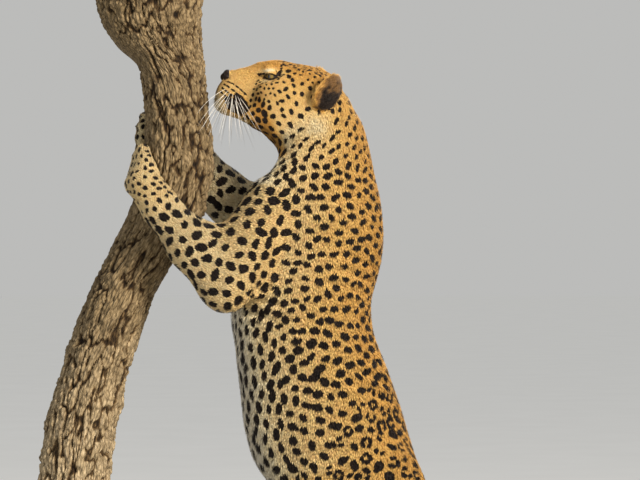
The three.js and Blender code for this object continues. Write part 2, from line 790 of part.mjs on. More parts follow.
// An ear: a deep bowl that opens forward, taller than wide, with its root sunk in the skull.
// A filled ear is the same outline without the hollow, larger by the gap.
function earSolid(side, filled) {
  const pose = side < 0 ? EAR_POSE.left : EAR_POSE.right;
  const forward = HEAD_BACK.clone().multiplyScalar(pose.facing[0]);
  forward.addScaledVector(HEAD_UP, pose.facing[1]).add(new THREE.Vector3(0, -side * 0.5, 0)).normalize();
  const up = HEAD_UP.clone().addScaledVector(HEAD_BACK, pose.lean);
  up.add(new THREE.Vector3(0, side * 0.3, 0));
  const across = new THREE.Vector3().crossVectors(up, forward).normalize();
  up.crossVectors(forward, across).normalize();
  const { wall } = EAR;
  const [wide, tall, deep] = [EAR.wide, EAR.tall, EAR.deep].map((size) => size + (filled ? 2 * GAP : 0));
  const inner = 1 - wall / wide;
  const outside = [
    [0, -deep],
    [0.42, -deep * 0.92],
    [0.76, -deep * 0.67],
    [0.96, -deep * 0.3],
    [1, 0],
    [(1 + inner) / 2, wall / 3 + (filled ? 2 * GAP : 0)],
  ];
  const hollow = [
    [inner, -wall / 3],
    [inner * 0.86, -deep * 0.34],
    [inner * 0.5, -deep * 0.58],
    [0, -deep * 0.66],
  ];
  const inside = filled ? [[0, wall / 3 + 2 * GAP]] : hollow;
  const profile = [...outside, ...inside].map(([r, h]) => new THREE.Vector2(r, h));
  const bowl = new THREE.LatheGeometry(profile, EAR.sides);
  bowl.scale(wide, 1, tall);
  const tilt = new THREE.Matrix4().makeBasis(across, forward, up.clone().negate());
  bowl.applyMatrix4(tilt);
  bowl.translate(...headPoint(EAR.back + pose.back, EAR.up + pose.up, side * EAR.side).toArray());
  return solidFromGeometry(bowl).intersect(blockBeyond(earRootCut(side), filled ? -GAP : 0));
}

const ears = [-1, 1].map((side) => ({ side, solid: earSolid(side, false) }));
const earClearance = [-1, 1].map((side) => earSolid(side, true)).reduce((a, b) => a.add(b));

function addHead() {
  const whole = solidFromField(bodyShape, [-140, -130, 1210], [230, 130, 1500], CELL.head);
  const headOnly = keepSide(whole, [flipped(NECK_CUT)]);
  const eyes = [-1, 1].map((side) => {
    const centre = headPoint(EYE.back, EYE.up, side * EYE.side).toArray();
    return { side, centre };
  });
  let rest = headOnly;
  for (const { centre } of eyes) {
    rest = rest.subtract(ball(centre, [1, 1, 1].map(() => EYE.radius + GAP), 12));
  }
  rest = rest.subtract(nosePad(GAP));
  rest = rest.subtract(earClearance);
  const jawCuts = [MOUTH_CUT, JAW_CUT];
  addMesh("head", removeRegions(rest, [jawCuts]), COAT, FUR_ROUGHNESS);
  addMesh("lower_jaw", keepSide(rest, jawCuts), COAT_WHITE, FUR_ROUGHNESS);
  addMesh("nose", nosePad(0), "#2a1f1d", 0.5);
  for (const { side, centre } of eyes) {
    const eyeball = ball(centre, [1, 1, 1].map(() => EYE.radius), 12);
    addMesh(side < 0 ? "eye_left" : "eye_right", eyeball, "#b9892f", 0.1);
  }
  for (const { side, solid } of ears) {
    addMesh(side < 0 ? "ear_left" : "ear_right", solid, COAT, FUR_ROUGHNESS);
  }
}

// The ear's root ends on a plane just inside the skull.
function earRootCut(side) {
  return plane(headPoint(205, 2, side * 46).toArray(), [0.1, side * 0.75, 0.66]);
}

// Neck, trunk, thighs and upper arms are cut from one surface, so their edges match.
const trunkSolid = solidFromField(bodyShape, [-150, -230, 290], [480, 230, 1440], CELL.trunk);

function addTorso() {
  const armRegions = [CUTS.leftArm.region, CUTS.rightArm.region];
  const legRegions = [CUTS.leftLeg.region, CUTS.rightLeg.region];
  const neck = keepSide(trunkSolid, [NECK_CUT, flipped(CHEST_CUT)]).subtract(earClearance);
  addMesh("neck", removeRegions(neck, armRegions), COAT, FUR_ROUGHNESS);
  const chest = keepSide(trunkSolid, [CHEST_CUT, flipped(BELLY_CUT)]);
  addMesh("chest", removeRegions(chest, armRegions), COAT, FUR_ROUGHNESS);
  addMesh("belly", keepSide(trunkSolid, [BELLY_CUT, flipped(HIP_CUT)]), COAT_PALE, FUR_ROUGHNESS);
  const hips = keepSide(trunkSolid, [HIP_CUT, flipped(TAIL_CUTS[0])]);
  addMesh("hips", removeRegions(hips, legRegions), COAT, FUR_ROUGHNESS);
}

function boxAround(points, margin) {
  const min = [0, 1, 2].map((i) => Math.min(...points.map((p) => p[i])) - margin);
  const max = [0, 1, 2].map((i) => Math.max(...points.map((p) => p[i])) + margin);
  return [min, max];
}

function addArm(name, arm, cuts) {
  const upper = keepSide(trunkSolid, [...cuts.region, flipped(cuts.elbow)]);
  addMesh("upper_arm_" + name, upper, COAT_PALE, FUR_ROUGHNESS);
  const armOnly = blendAll([blendAll(armFields(arm), 34), forePalm(arm)], 14);
  const lower = solidFromField(armOnly, ...boxAround([arm.elbow, arm.wrist], 90), CELL.limb);
  const forearm = keepSide(lower, [cuts.elbow, flipped(cuts.wrist)]).subtract(barkClearance);
  addMesh("forearm_" + name, forearm, COAT_PALE, FUR_ROUGHNESS);
  const toes = foreToes(arm);
  const pawBox = boxAround([arm.wrist, ...toes.flatMap((toe) => [toe.root, toe.bend, toe.tip])], 75);
  const paw = solidFromField(armOnly, ...pawBox, CELL.paw);
  const bare = withToes(keepSide(paw, [cuts.wrist]), toes, TOE.fore).subtract(barkClearance);
  addMesh("forepaw_" + name, bare, COAT_PALE, FUR_ROUGHNESS);
  addClaws(toes, TOE.fore, "fore_" + name);
}

function addLeg(name, leg, cuts) {
  const thigh = keepSide(trunkSolid, [HIP_CUT, ...cuts.region, flipped(cuts.knee), flipped(TAIL_CUTS[0])]);
  addMesh("thigh_" + name, thigh, COAT, FUR_ROUGHNESS);
  const legOnly = blendAll([blendAll(legFields(leg), 34), hindPalm(leg)], 16);
  const shank = solidFromField(legOnly, ...boxAround([leg.knee, leg.hock], 100), CELL.shank);
  addMesh("shank_" + name, keepSide(shank, [cuts.knee, flipped(cuts.hock)]), COAT, FUR_ROUGHNESS);
  const toes = hindToes(leg);
  const footBox = boxAround([leg.hock, ...toes.flatMap((toe) => [toe.root, toe.tip])], 75);
  const foot = solidFromField(legOnly, ...footBox, CELL.paw + 1);
  const bare = keepSide(withToes(keepSide(foot, [cuts.hock]), toes, TOE.hind), [GROUND]);
  addMesh("hind_foot_" + name, bare, COAT, FUR_ROUGHNESS);
  addClaws(toes, TOE.hind, "hind_" + name);
}

// The tail is one bent rod, whose flats are made up for by a little more radius, cut in three.
const TAIL_ROD = { start: 0.04, rings: 20, sides: 6, fullness: 1.07, lastRing: 0.8, side: [0.6, -0.4, 0.7] };

function addTail() {
  const { start, rings, sides, fullness, side } = TAIL_ROD;
  const shares = Array.from({ length: rings }, (_, ring) => start + ((1 - start) * ring) / (rings - 1));
  const centres = shares.map((t) => TAIL_PATH.getPoint(t));
  const radii = shares.map((t) => tailRadius(t) * fullness);
  const tip = centres[rings - 1].clone().addScaledVector(TAIL_PATH.getTangent(1), TAIL_END_RADIUS);
  radii[rings - 1] *= TAIL_ROD.lastRing;
  const solid = bentRod(centres, radii, [centres[0], tip], new THREE.Vector3(...side), 1, sides);
  ["tail_base", "tail_middle", "tail_tip"].forEach((name, n) => {
    const to = TAIL_CUTS[n + 1];
    const cuts = [TAIL_CUTS[n], ...(to ? [flipped(to)] : []), GROUND];
    addMesh(name, keepSide(solid, cuts), COAT, FUR_ROUGHNESS);
  });
}

// The stand: a flat base and two short rods with a collar each, up to the cut end of the trunk.
function addStand() {
  const { length, width, thickness, bevel } = BASE;
  const outline = new THREE.Shape();
  outline.moveTo(-length / 2 + bevel, -width / 2 + bevel);
  outline.lineTo(length / 2 - bevel, -width / 2 + bevel);
  outline.lineTo(length / 2 - bevel, width / 2 - bevel);
  outline.lineTo(-length / 2 + bevel, width / 2 - bevel);
  outline.closePath();
  const options = { depth: thickness - bevel, bevelSize: bevel, bevelThickness: bevel, bevelSegments: 1 };
  const slab = new THREE.ExtrudeGeometry(outline, { ...options, bevelEnabled: true });
  const flat = solidFromGeometry(slab).intersect(blockBeyond(plane([0, 0, 0], [0, 0, 1]), 0));
  addMesh("stand_base", flat, "#2d2b29", 0.5);
  const foot = PERCH_AXIS.getPoint(0);
  [-1, 1].forEach((side, n) => {
    const tall = foot.z - FLOOR - 2 * GAP;
    const profile = [
      [0, 0],
      [ROD.collar, 0],
      [ROD.collar, ROD.collarHeight],
      [ROD.radius, ROD.collarHeight],
      [ROD.radius, tall],
      [0, tall],
    ].map(([r, h]) => new THREE.Vector2(r, h));
    const rod = new THREE.LatheGeometry(profile, 12);
    rod.rotateX(Math.PI / 2);
    rod.translate(foot.x + side * ROD.offset, 0, FLOOR + GAP);
    addMesh("stand_rod_" + (n + 1), solidFromGeometry(rod), "#8f9296", 0.35, 1);
  });
}

addHead();
addTorso();
addArm("left", LEFT_ARM, CUTS.leftArm);
addArm("right", RIGHT_ARM, CUTS.rightArm);
addLeg("left", LEFT_LEG, CUTS.leftLeg);
addLeg("right", RIGHT_LEG, CUTS.rightLeg);
addTail();
addMesh("perch_trunk", perchSolid(0), "#6f6257", 0.9);
addStand();

export default group;
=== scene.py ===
"""A life-size leopard rearing against a cut length of trunk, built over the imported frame. Metres."""

import math

import bmesh
import bpy
import numpy as np
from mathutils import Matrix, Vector
from mathutils.bvhtree import BVHTree
from mathutils.kdtree import KDTree


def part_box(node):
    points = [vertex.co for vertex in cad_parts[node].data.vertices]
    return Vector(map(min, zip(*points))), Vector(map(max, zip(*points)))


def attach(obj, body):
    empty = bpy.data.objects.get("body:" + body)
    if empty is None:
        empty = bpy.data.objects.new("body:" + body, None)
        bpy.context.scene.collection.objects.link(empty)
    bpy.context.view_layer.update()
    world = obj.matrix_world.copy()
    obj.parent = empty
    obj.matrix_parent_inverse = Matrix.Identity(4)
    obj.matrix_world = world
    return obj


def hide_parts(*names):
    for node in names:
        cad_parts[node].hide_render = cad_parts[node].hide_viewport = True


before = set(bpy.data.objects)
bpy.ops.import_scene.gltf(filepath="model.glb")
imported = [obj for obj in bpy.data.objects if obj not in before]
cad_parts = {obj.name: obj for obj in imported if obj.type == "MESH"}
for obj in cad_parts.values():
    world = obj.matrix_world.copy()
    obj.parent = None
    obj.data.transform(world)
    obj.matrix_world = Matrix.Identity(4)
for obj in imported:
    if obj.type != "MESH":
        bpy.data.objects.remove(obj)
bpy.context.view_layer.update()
BODY = "root"
MM = 0.001
RANDOM = np.random.default_rng(11)

# ---- the animal's own nodes ----
SIDES = ("left", "right")
LIMBS = ("upper_arm_", "forearm_", "forepaw_", "thigh_", "shank_", "hind_foot_")
TRUNK = ("neck", "chest", "belly", "hips", "tail_base", "tail_middle", "tail_tip")
HEAD_NODES = ("head", "lower_jaw", "ear_left", "ear_right")
FLESH = HEAD_NODES + TRUNK + tuple(limb + side for limb in LIMBS for side in SIDES)
CLAWS = tuple(
    "%s_%s_claw_%d" % (end, side, k)
    for end in ("fore", "hind") for side in SIDES for k in (1, 2, 3, 4)
)

# ---- the head's own directions, from the eyes of the frame ----
HEAD_PITCH = math.radians(20)
BACKWARD = np.array((math.cos(HEAD_PITCH), 0, -math.sin(HEAD_PITCH)))
UPWARD = np.array((math.sin(HEAD_PITCH), 0, math.cos(HEAD_PITCH)))
ACROSS = np.array((0.0, 1.0, 0.0))
EYE_BACK, EYE_UP = 0.104, 0.034


def middle(node):
    low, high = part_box(node)
    return np.array((low + high) / 2)


EYES = {side: middle("eye_" + side) for side in SIDES}
EYE_RADIUS = (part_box("eye_left")[1].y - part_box("eye_left")[0].y) / 2
NOSE_TIP = (EYES["left"] + EYES["right"]) / 2 - EYE_BACK * BACKWARD - EYE_UP * UPWARD


def in_head(points):
    """Places as (back from the nose tip, up, to the side) of the head."""
    away = np.asarray(points) - NOSE_TIP
    return np.stack((away @ BACKWARD, away @ UPWARD, away @ ACROSS), -1)


def from_head(back, up, side):
    return NOSE_TIP + back * BACKWARD + up * UPWARD + side * ACROSS


# ---- meshes as arrays ----
def read(items, key, width=3, kind=np.float32):
    """One attribute of all these items of a mesh, a row for each."""
    out = np.empty(len(items) * width, kind)
    items.foreach_get(key, out)
    return out.reshape(-1, width)


def points_of(obj):
    return read(obj.data.vertices, "co").astype(float)


def put_points(obj, co):
    obj.data.vertices.foreach_set("co", np.ascontiguousarray(co, np.float32).ravel())
    obj.data.update()


def normals_of(obj):
    return read(obj.data.vertex_normals, "vector").astype(float)


def write_values(obj, name, kind, key, values):
    """A value for each point of a mesh, for its material."""
    layer = obj.data.attributes.new(name, kind, "POINT")
    layer.data.foreach_set(key, np.ascontiguousarray(values, np.float32).ravel())


def unit(v):
    return v / np.maximum(np.linalg.norm(v, axis=-1, keepdims=True), 1e-9)


def smooth_step(low, high, x):
    t = np.clip((x - low) / (high - low), 0, 1)
    return t * t * (3 - 2 * t)


def hump(x, middle_, half):
    """1 at the middle, falling to nothing over about twice the half width."""
    return np.exp(-(((x - middle_) / half) ** 2))


class Net:
    """A mesh's neighbours, for spreading values along it."""

    def __init__(self, obj):
        self.edges = read(obj.data.edges, "vertices", 2, np.int32)
        self.count = len(obj.data.vertices)
        ends = np.bincount(self.edges.ravel(), minlength=self.count)
        self.ends = np.maximum(ends, 1)[:, None]

    def mean(self, values):
        a, b = self.edges.T
        total = np.empty_like(values)
        for k in range(values.shape[1]):
            v = values[:, k]
            total[:, k] = np.bincount(a, v[b], self.count) + np.bincount(b, v[a], self.count)
        return total / self.ends

    def spread(self, values, rounds, share=0.6):
        flat = values.ndim == 1
        values = values[:, None] if flat else values
        for _ in range(rounds):
            values = values + share * (self.mean(values) - values)
        return values[:, 0] if flat else values


def tree_of(points):
    tree = KDTree(len(points))
    for i, p in enumerate(points.tolist()):
        tree.insert(p, i)
    tree.balance()
    return tree


def surface_of(obj):
    """A mesh as a tree of faces, to find the nearest place on it."""
    faces = [list(p.vertices) for p in obj.data.polygons]
    return BVHTree.FromPolygons(points_of(obj).tolist(), faces)


def only(*pieces):
    """Nothing else is selected, so an operator acts on these pieces alone."""
    bpy.ops.object.select_all(action="DESELECT")
    for piece in pieces:
        piece.select_set(True)
    if pieces:
        bpy.context.view_layer.objects.active = pieces[0]


def smooth_shaded(obj):
    only(obj)
    bpy.ops.object.shade_smooth()


def edit_mode(on):
    bpy.ops.object.mode_set(mode="EDIT" if on else "OBJECT")


def apply_modifier(obj, kind, **settings):
    only(obj)
    made = obj.modifiers.new(kind.lower(), kind)
    for key, value in settings.items():
        setattr(made, key, value)
    bpy.ops.object.modifier_apply(modifier=made.name)


def choose_faces(obj, chosen):
    """Enters edit mode with just these faces selected."""
    only(obj)
    mesh = obj.data
    for items in (mesh.vertices, mesh.edges):
        items.foreach_set("select", np.zeros(len(items), bool))
    mesh.polygons.foreach_set("select", chosen)
    bpy.context.tool_settings.mesh_select_mode = (False, False, True)
    edit_mode(True)


def placed(name, data):
    """A new object of this data, in the scene."""
    obj = bpy.data.objects.new(name, data)
    bpy.context.scene.collection.objects.link(obj)
    return obj


def merged_copy(node, name, grow=0.0):
    """A copy of a node with its loose triangles merged, grown a little along its normals."""
    copy = placed(name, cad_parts[node].data.copy())
    copy.data.materials.clear()
    work = bmesh.new()
    work.from_mesh(copy.data)
    bmesh.ops.remove_doubles(work, verts=work.verts, dist=1e-5)
    work.normal_update()
    for v in work.verts:
        v.co += v.normal * grow
    work.to_mesh(copy.data)
    work.free()
    return copy


def joined(pieces, name):
    only(*pieces)
    bpy.ops.object.join()
    pieces[0].name = pieces[0].data.name = name
    return pieces[0]


def settle(obj, replaced, material=None):
    """Hands a finished piece to the frame."""
    if material:
        obj.data.materials.clear()
        obj.data.materials.append(material)
    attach(obj, BODY)
    if replaced:
        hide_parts(*replaced)
    return obj


# ---- one skin over all the flesh ----
SEAM_GROWTH = 0.5 * MM  # closes the thin cuts between the nodes
VOXEL = 4.4 * MM
# coat depth, tuft length, tuft width, smoothing, spot half width, spacing of spots, all mm but smoothing
COATS = {
    "head": (2.0, 5.6, 1.55, 0.08, 3.3, 11.6),
    "lower_jaw": (3.0, 8.0, 1.6, 0.08, 3.6, 15.0),
    "ear": (2.0, 8.0, 1.4, 0.02, 2.0, 60.0),
    "neck": (4.6, 11.0, 2.1, 0.60, 5.7, 20.5),
    "chest": (5.2, 12.0, 2.3, 1.00, 8.6, 22.8),
    "belly": (5.6, 13.0, 2.3, 1.00, 9.9, 26.0),
    "hips": (5.2, 12.5, 2.3, 1.00, 10.2, 27.5),
    "tail_base": (5.5, 12.5, 2.3, 0.35, 9.8, 28.5),
    "tail_middle": (6.5, 14.0, 2.4, 0.20, 11.2, 31.0),
    "tail_tip": (7.5, 15.0, 2.4, 0.20, 13.5, 35.0),
    "upper_arm": (4.6, 11.0, 2.2, 0.80, 10.0, 27.5),
    "forearm": (3.8, 9.5, 2.1, 0.45, 9.8, 27.0),
    "forepaw": (2.5, 6.5, 2.0, 0.05, 5.2, 16.5),
    "thigh": (5.2, 12.0, 2.3, 0.90, 10.8, 31.0),
    "shank": (3.8, 9.5, 2.1, 0.40, 9.4, 27.0),
    "hind_foot": (2.5, 6.5, 2.0, 0.05, 5.2, 16.5),
}


def kind_of(node):
    for side in SIDES:
        node = node.replace("_" + side, "")
    return node


class Flesh:
    """The joined nodes as one tree of triangles, to ask which node a point belongs to."""

    def __init__(self, parts):
        corners, faces, owner, start = [], [], [], 0
        for index, obj in enumerate(parts):
            co = points_of(obj)
            obj.data.calc_loop_triangles()
            triangles = read(obj.data.loop_triangles, "vertices", 3, np.int32)
            corners.append(co)
            faces.append(triangles + start)
            owner += [index] * len(triangles)
            start += len(co)
        self.owner = np.array(owner)
        self.tree = BVHTree.FromPolygons(
            np.concatenate(corners).tolist(), np.concatenate(faces).tolist()
        )

    def label(self, points):
        found = [self.tree.find_nearest(p)[2] for p in points.tolist()]
        return self.owner[found]


FACE_REACH, JAW_LOW = 0.118, -0.10  # the face: back from the nose tip, and up
EAR_EDGE = 0.004
EYE_REACH = 0.030


def subdivide(obj, chosen):
    choose_faces(obj, chosen)
    bpy.ops.mesh.subdivide(number_cuts=1)
    edit_mode(False)


def voxel_skin():
    parts = [merged_copy(n, "copy_of_" + n, SEAM_GROWTH) for n in FLESH]
    fillers = ("eye_left", "eye_right", "nose")
    parts += [merged_copy(n, "copy_of_" + n, SEAM_GROWTH) for n in fillers]
    flesh = Flesh(parts[: len(FLESH)])
    skin = joined(parts, "leopard_skin")
    apply_modifier(skin, "REMESH", mode="VOXEL", voxel_size=VOXEL, adaptivity=0.0)
    # The face and the ears have four times the mesh of the body, and the eyes sixteen times.
    at = read(skin.data.polygons, "center")
    place = in_head(at)
    fine = (place[:, 0] < FACE_REACH) & (place[:, 1] > JAW_LOW)
    for side in SIDES:
        low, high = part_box("ear_" + side)
        fine |= ((at > np.array(low) - EAR_EDGE) & (at < np.array(high) + EAR_EDGE)).all(1)
    subdivide(skin, fine)
    at = read(skin.data.polygons, "center")
    near = [np.linalg.norm(at - EYES[side], axis=1) for side in SIDES]
    subdivide(skin, np.minimum(*near) < EYE_REACH)
    return skin, flesh


def relaxed(obj, net, share, rounds, rounds_back, firm=slice(0)):
    """Facets are smoothed away, and the smoothing's own loss of girth is given back."""
    start = points_of(obj)
    co = start.copy()
    for _ in range(rounds):
        co += share * (net.mean(co) - co)
    put_points(obj, co)
    normal = normals_of(obj)
    loss = ((start - co) * normal).sum(1)
    loss[firm] = 0
    co += normal * net.spread(loss, rounds_back)[:, None]
    put_points(obj, co)
    return co, normal


skin, flesh = voxel_skin()
net = Net(skin)
node_of = flesh.label(points_of(skin))
kinds = [kind_of(n) for n in FLESH]
table = np.array([COATS[k] for k in kinds])[node_of]
mixed = net.spread(table, 14)
relaxed(skin, net, 0.6 * net.spread(table[:, 3], 6)[:, None], 110, 45)


# ---- forms that the fur follows ----
def push(co, normal, place, centre, reach, amount):
    """Swells or sinks the surface round one place by a soft amount."""
    away = (place - centre) / reach
    return co + normal * (amount * np.exp(-(away**2).sum(1)))[:, None]


def far_from_path(points, path):
    """How far each point is from a path of straight lengths."""
    path = np.asarray(path, float)
    near = np.full(len(points), 1e9)
    for a, b in zip(path[:-1], path[1:]):
        d = b - a
        t = np.clip((points - a) @ d / (d @ d), 0, 1)
        near = np.minimum(near, np.linalg.norm(points - a - t[:, None] * d, axis=1))
    return near


def groove(co, normal, path, half, depth):
    """A soft furrow along a path of points."""
    return co - normal * (depth * hump(far_from_path(co, path), 0, half))[:, None]


def crease(co, normal, sign, path, half, depth):
    """A fold of skin on one flank, along a path of (x, z) seen from the side."""
    near = far_from_path(co[:, [0, 2]], path)
    outside = smooth_step(0.02, 0.05, sign * co[:, 1]) * smooth_step(0.15, 0.45, sign * normal[:, 1])
    ridge = 0.45 * hump(near, 1.9 * half, half)
    return co - normal * (depth * outside * (hump(near, 0, half) - ridge))[:, None]


# Folds of loose skin behind the elbow, over the ribs and across the loins: (x, z), half width, depth.
FOLDS = (
    (((-0.044, 0.944), (-0.010, 0.958), (0.026, 0.968)), 0.0055, 0.0038),
    (((-0.040, 0.932), (0.002, 0.938), (0.040, 0.934)), 0.0055, 0.0034),
    (((-0.038, 0.918), (0.000, 0.912), (0.030, 0.900)), 0.0050, 0.0026),
    (((0.168, 1.036), (0.205, 1.028), (0.236, 1.010)), 0.0060, 0.0022),
    (((0.150, 1.008), (0.190, 1.000), (0.228, 0.982)), 0.0060, 0.0022),
    (((0.130, 0.982), (0.170, 0.972), (0.215, 0.956)), 0.0060, 0.0018),
    (((0.205, 0.796), (0.236, 0.786), (0.264, 0.768)), 0.0070, 0.0034),
    (((0.190, 0.770), (0.225, 0.756), (0.262, 0.735)), 0.0070, 0.0022),
)


def sculpt_body(skin):
    co, normal = points_of(skin), normals_of(skin)
    for sign in (-1, 1):
        for path, half, depth in FOLDS:
            co = crease(co, normal, sign, path, half, depth)
    for sign in (-1, 1):
        # the flank fold, in front of the thigh
        co = groove(
            co, normal,
            [(0.02, sign * 0.10, 0.560), (0.08, sign * 0.12, 0.600), (0.15, sign * 0.12, 0.632)],
            0.012, 0.007,
        )
        # shoulder blade, and the hollow behind it
        co = push(co, normal, co, (0.09, sign * 0.10, 1.150), (0.05, 0.06, 0.07), 0.006)
        co = push(co, normal, co, (0.13, sign * 0.11, 1.040), (0.04, 0.06, 0.05), -0.005)
    put_points(skin, co)


sculpt_body(skin)


# ---- the head ----
EYE_YAW = math.radians(52)


def eye_frame(side):
    """The eye's axis, its line from the inner to the outer corner, and its up direction."""
    sign = -1 if side == "left" else 1
    axis = unit(-math.cos(EYE_YAW) * BACKWARD + sign * math.sin(EYE_YAW) * ACROSS - 0.26 * UPWARD)
    along = unit(math.sin(EYE_YAW) * BACKWARD + sign * math.cos(EYE_YAW) * ACROSS + 0.26 * UPWARD)
    along = unit(along - (along @ axis) * axis)
    return axis, along, np.cross(along, axis) * (-sign)


# Forms of each half of the head: (back, up, out) of the middle, reach, how far they stand out.
FACE_FORMS = (
    # brow ridge over the eye, cheek bone under and behind it, hollows beside and over the bridge
    ((0.090, 0.052, 0.034), (0.022, 0.007, 0.014), 0.0026),
    ((0.104, 0.008, 0.060), (0.026, 0.014, 0.016), 0.0045),
    ((0.130, 0.006, 0.078), (0.030, 0.028, 0.020), 0.0045),
    ((0.066, 0.020, 0.030), (0.018, 0.014, 0.012), -0.0045),
    ((0.082, 0.060, 0.000), (0.018, 0.016, 0.008), -0.0015),
    # whisker pad, the hollow behind it, the chin and the parting of the upper lip
    ((0.032, -0.026, 0.032), (0.022, 0.020, 0.014), 0.0055),
    ((0.074, -0.030, 0.048), (0.016, 0.026, 0.016), -0.0040),
    ((0.012, -0.062, 0.000), (0.016, 0.010, 0.018), 0.0030),
    ((0.003, -0.024, 0.000), (0.010, 0.018, 0.0030), -0.0025),
    # room for the nose pad, which stands out from the skin
    ((0.004, -0.003, 0.000), (0.010, 0.009, 0.014), -0.0040),
    ((0.012, -0.002, 0.018), (0.007, 0.006, 0.008), -0.0040),
)
LIPS = ((0.001, -0.045, 0.0), (0.012, -0.047, 0.022), (0.040, -0.049, 0.036), (0.072, -0.043, 0.046))
LIP_LINE_HALF, LIP_LINE_DEPTH = 0.0034, 0.0042


def sculpt_head(skin):
    co, normal = points_of(skin), normals_of(skin)
    mirrored = in_head(co)
    mirrored[:, 2] = np.abs(mirrored[:, 2])
    for form in FACE_FORMS:
        co = push(co, normal, mirrored, *form)
    for sign in (-1, 1):
        path = [from_head(back, up, sign * out) for back, up, out in LIPS]
        co = groove(co, normal, path, LIP_LINE_HALF, LIP_LINE_DEPTH)
    put_points(skin, co)


sculpt_head(skin)

EYE_HALF_WIDTH, EYE_HALF_HEIGHT = math.radians(60), math.radians(16)


def open_eyes(skin):
    """Lids are drawn over each ball and end in an almond opening, behind which the skin sinks."""
    co = points_of(skin)
    opening = np.zeros(len(co))
    for side in SIDES:
        axis, along, up = eye_frame(side)
        away = co - EYES[side]
        far = np.linalg.norm(away, axis=1)
        ray = unit(away)
        x = np.arctan2(ray @ along, ray @ axis) / EYE_HALF_WIDTH
        y = np.arcsin(np.clip(ray @ up, -1, 1)) / EYE_HALF_HEIGHT
        shape = 1 - np.clip(np.abs(x), 0, 1) ** 2.2
        upper, lower = 0.78 * shape + 0.10 * x, 1.0 * shape
        inside = np.minimum(upper - y, y + lower) * EYE_HALF_HEIGHT
        inside = np.where(np.abs(x) < 1, inside, -(np.abs(x) - 1) * EYE_HALF_WIDTH - 0.05)
        close = (far < EYE_RADIUS * 1.75) & (ray @ axis > -0.1)
        lid = EYE_RADIUS + (2.6 - 1.2 * hump(inside, -0.08, 0.16)) * MM
        reach = smooth_step(-0.62, -0.25, inside)
        bowl = EYE_RADIUS - 6.5 * MM
        target = np.where(inside > 0, bowl, np.maximum(far * (1 - reach) + lid * reach, 0))
        co = np.where(close[:, None], EYES[side] + ray * target[:, None], co)
        opening = np.maximum(opening, np.where(close, smooth_step(-0.26, -0.05, inside), 0))
    put_points(skin, co)
    return opening


eye_rim = open_eyes(skin)

# ---- the lie of the coat ----
CENTRES = {n: points_of(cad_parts[n]).mean(0) for n in FLESH}
FLOW = {
    "head": BACKWARD - 0.15 * UPWARD,
    "lower_jaw": BACKWARD - 0.1 * UPWARD,
    "neck": CENTRES["chest"] - CENTRES["neck"] + np.array((0.0, 0, -0.05)),
    "chest": np.array((-0.10, 0, -1.0)),
    "belly": np.array((-0.12, 0, -1.0)),
    "hips": np.array((0.10, 0, -1.0)),
    "tail_base": np.array((0.45, 0, -1.0)),
    "tail_middle": CENTRES["tail_tip"] - CENTRES["tail_base"],
    "tail_tip": CENTRES["tail_tip"] - CENTRES["tail_middle"],
}


def toe_way(end, side):
    claws = [middle("%s_%s_claw_%d" % (end, side, k)) for k in (1, 2, 3, 4)]
    paw = "forepaw_" if end == "fore" else "hind_foot_"
    return np.mean(claws, 0) - CENTRES[paw + side]


for side in SIDES:
    FLOW["ear_" + side] = UPWARD + 0.6 * BACKWARD
    FLOW["upper_arm_" + side] = CENTRES["forearm_" + side] - CENTRES["upper_arm_" + side]
    FLOW["forearm_" + side] = CENTRES["forepaw_" + side] - CENTRES["upper_arm_" + side]
    FLOW["forepaw_" + side] = toe_way("fore", side)
    FLOW["thigh_" + side] = CENTRES["shank_" + side] - CENTRES["thigh_" + side]
    FLOW["shank_" + side] = CENTRES["hind_foot_" + side] - CENTRES["thigh_" + side]
    FLOW["hind_foot_" + side] = toe_way("hind", side)


def on_surface(way, normal):
    """Directions laid flat on the surface."""
    return unit(way - (way * normal).sum(1)[:, None] * normal)


def owned_by(*nodes, owner=None):
    """True for each point of the skin, or for each of these owners, that lies over these nodes."""
    return np.isin(node_of if owner is None else owner, [FLESH.index(n) for n in nodes])


def lie_of_coat(skin, net):
    flow = unit(np.array([FLOW[n] for n in FLESH]))[node_of]
    normal = normals_of(skin)
    # On the face the coat parts from the nose, outwards and back.
    back, _, out = np.split(in_head(points_of(skin)), 3, axis=1)
    face = smooth_step(0.10, 0.02, back) * owned_by("head", "lower_jaw")[:, None]
    flow = flow + face * 0.7 * ACROSS * np.sign(out) * smooth_step(0.002, 0.02, np.abs(out))
    # The ears keep a lie of their own, which doesn't reach into the neck.
    ears = owned_by("ear_left", "ear_right")
    own = flow[ears]
    flow[ears] = FLOW["head"]
    for _ in range(4):
        flow = on_surface(net.spread(flow, 8), normal)
    flow[ears] = on_surface(own, normal[ears])
    return flow


flow = lie_of_coat(skin, net)


# ---- colour of the coat, from white underside to golden back ----
def cube_code(at, seed):
    """A number for each cube of space, the same on every run."""
    return (at[:, 0] * 73856093) ^ (at[:, 1] * 19349663) ^ (at[:, 2] * 83492791) ^ seed


def lattice(points, size, seed):
    """Smooth noise from -1 to 1 with one value for each cube of this size."""
    cell = points / size
    low = np.floor(cell).astype(np.int64)
    t = cell - low
    t = t * t * (3 - 2 * t)
    total = np.zeros(len(points))
    for step in np.ndindex(2, 2, 2):
        code = cube_code(low + step, seed)
        code = (code ^ (code >> 13)) * 1274126177
        value = ((code ^ (code >> 16)) & 0xFFFF) / 32767.5 - 1
        total += value * np.prod(np.where(step, t, 1 - t), axis=1)
    return total


BROWN = 1.3  # beyond the deep gold of the back: the dull brown of the backs of the ears


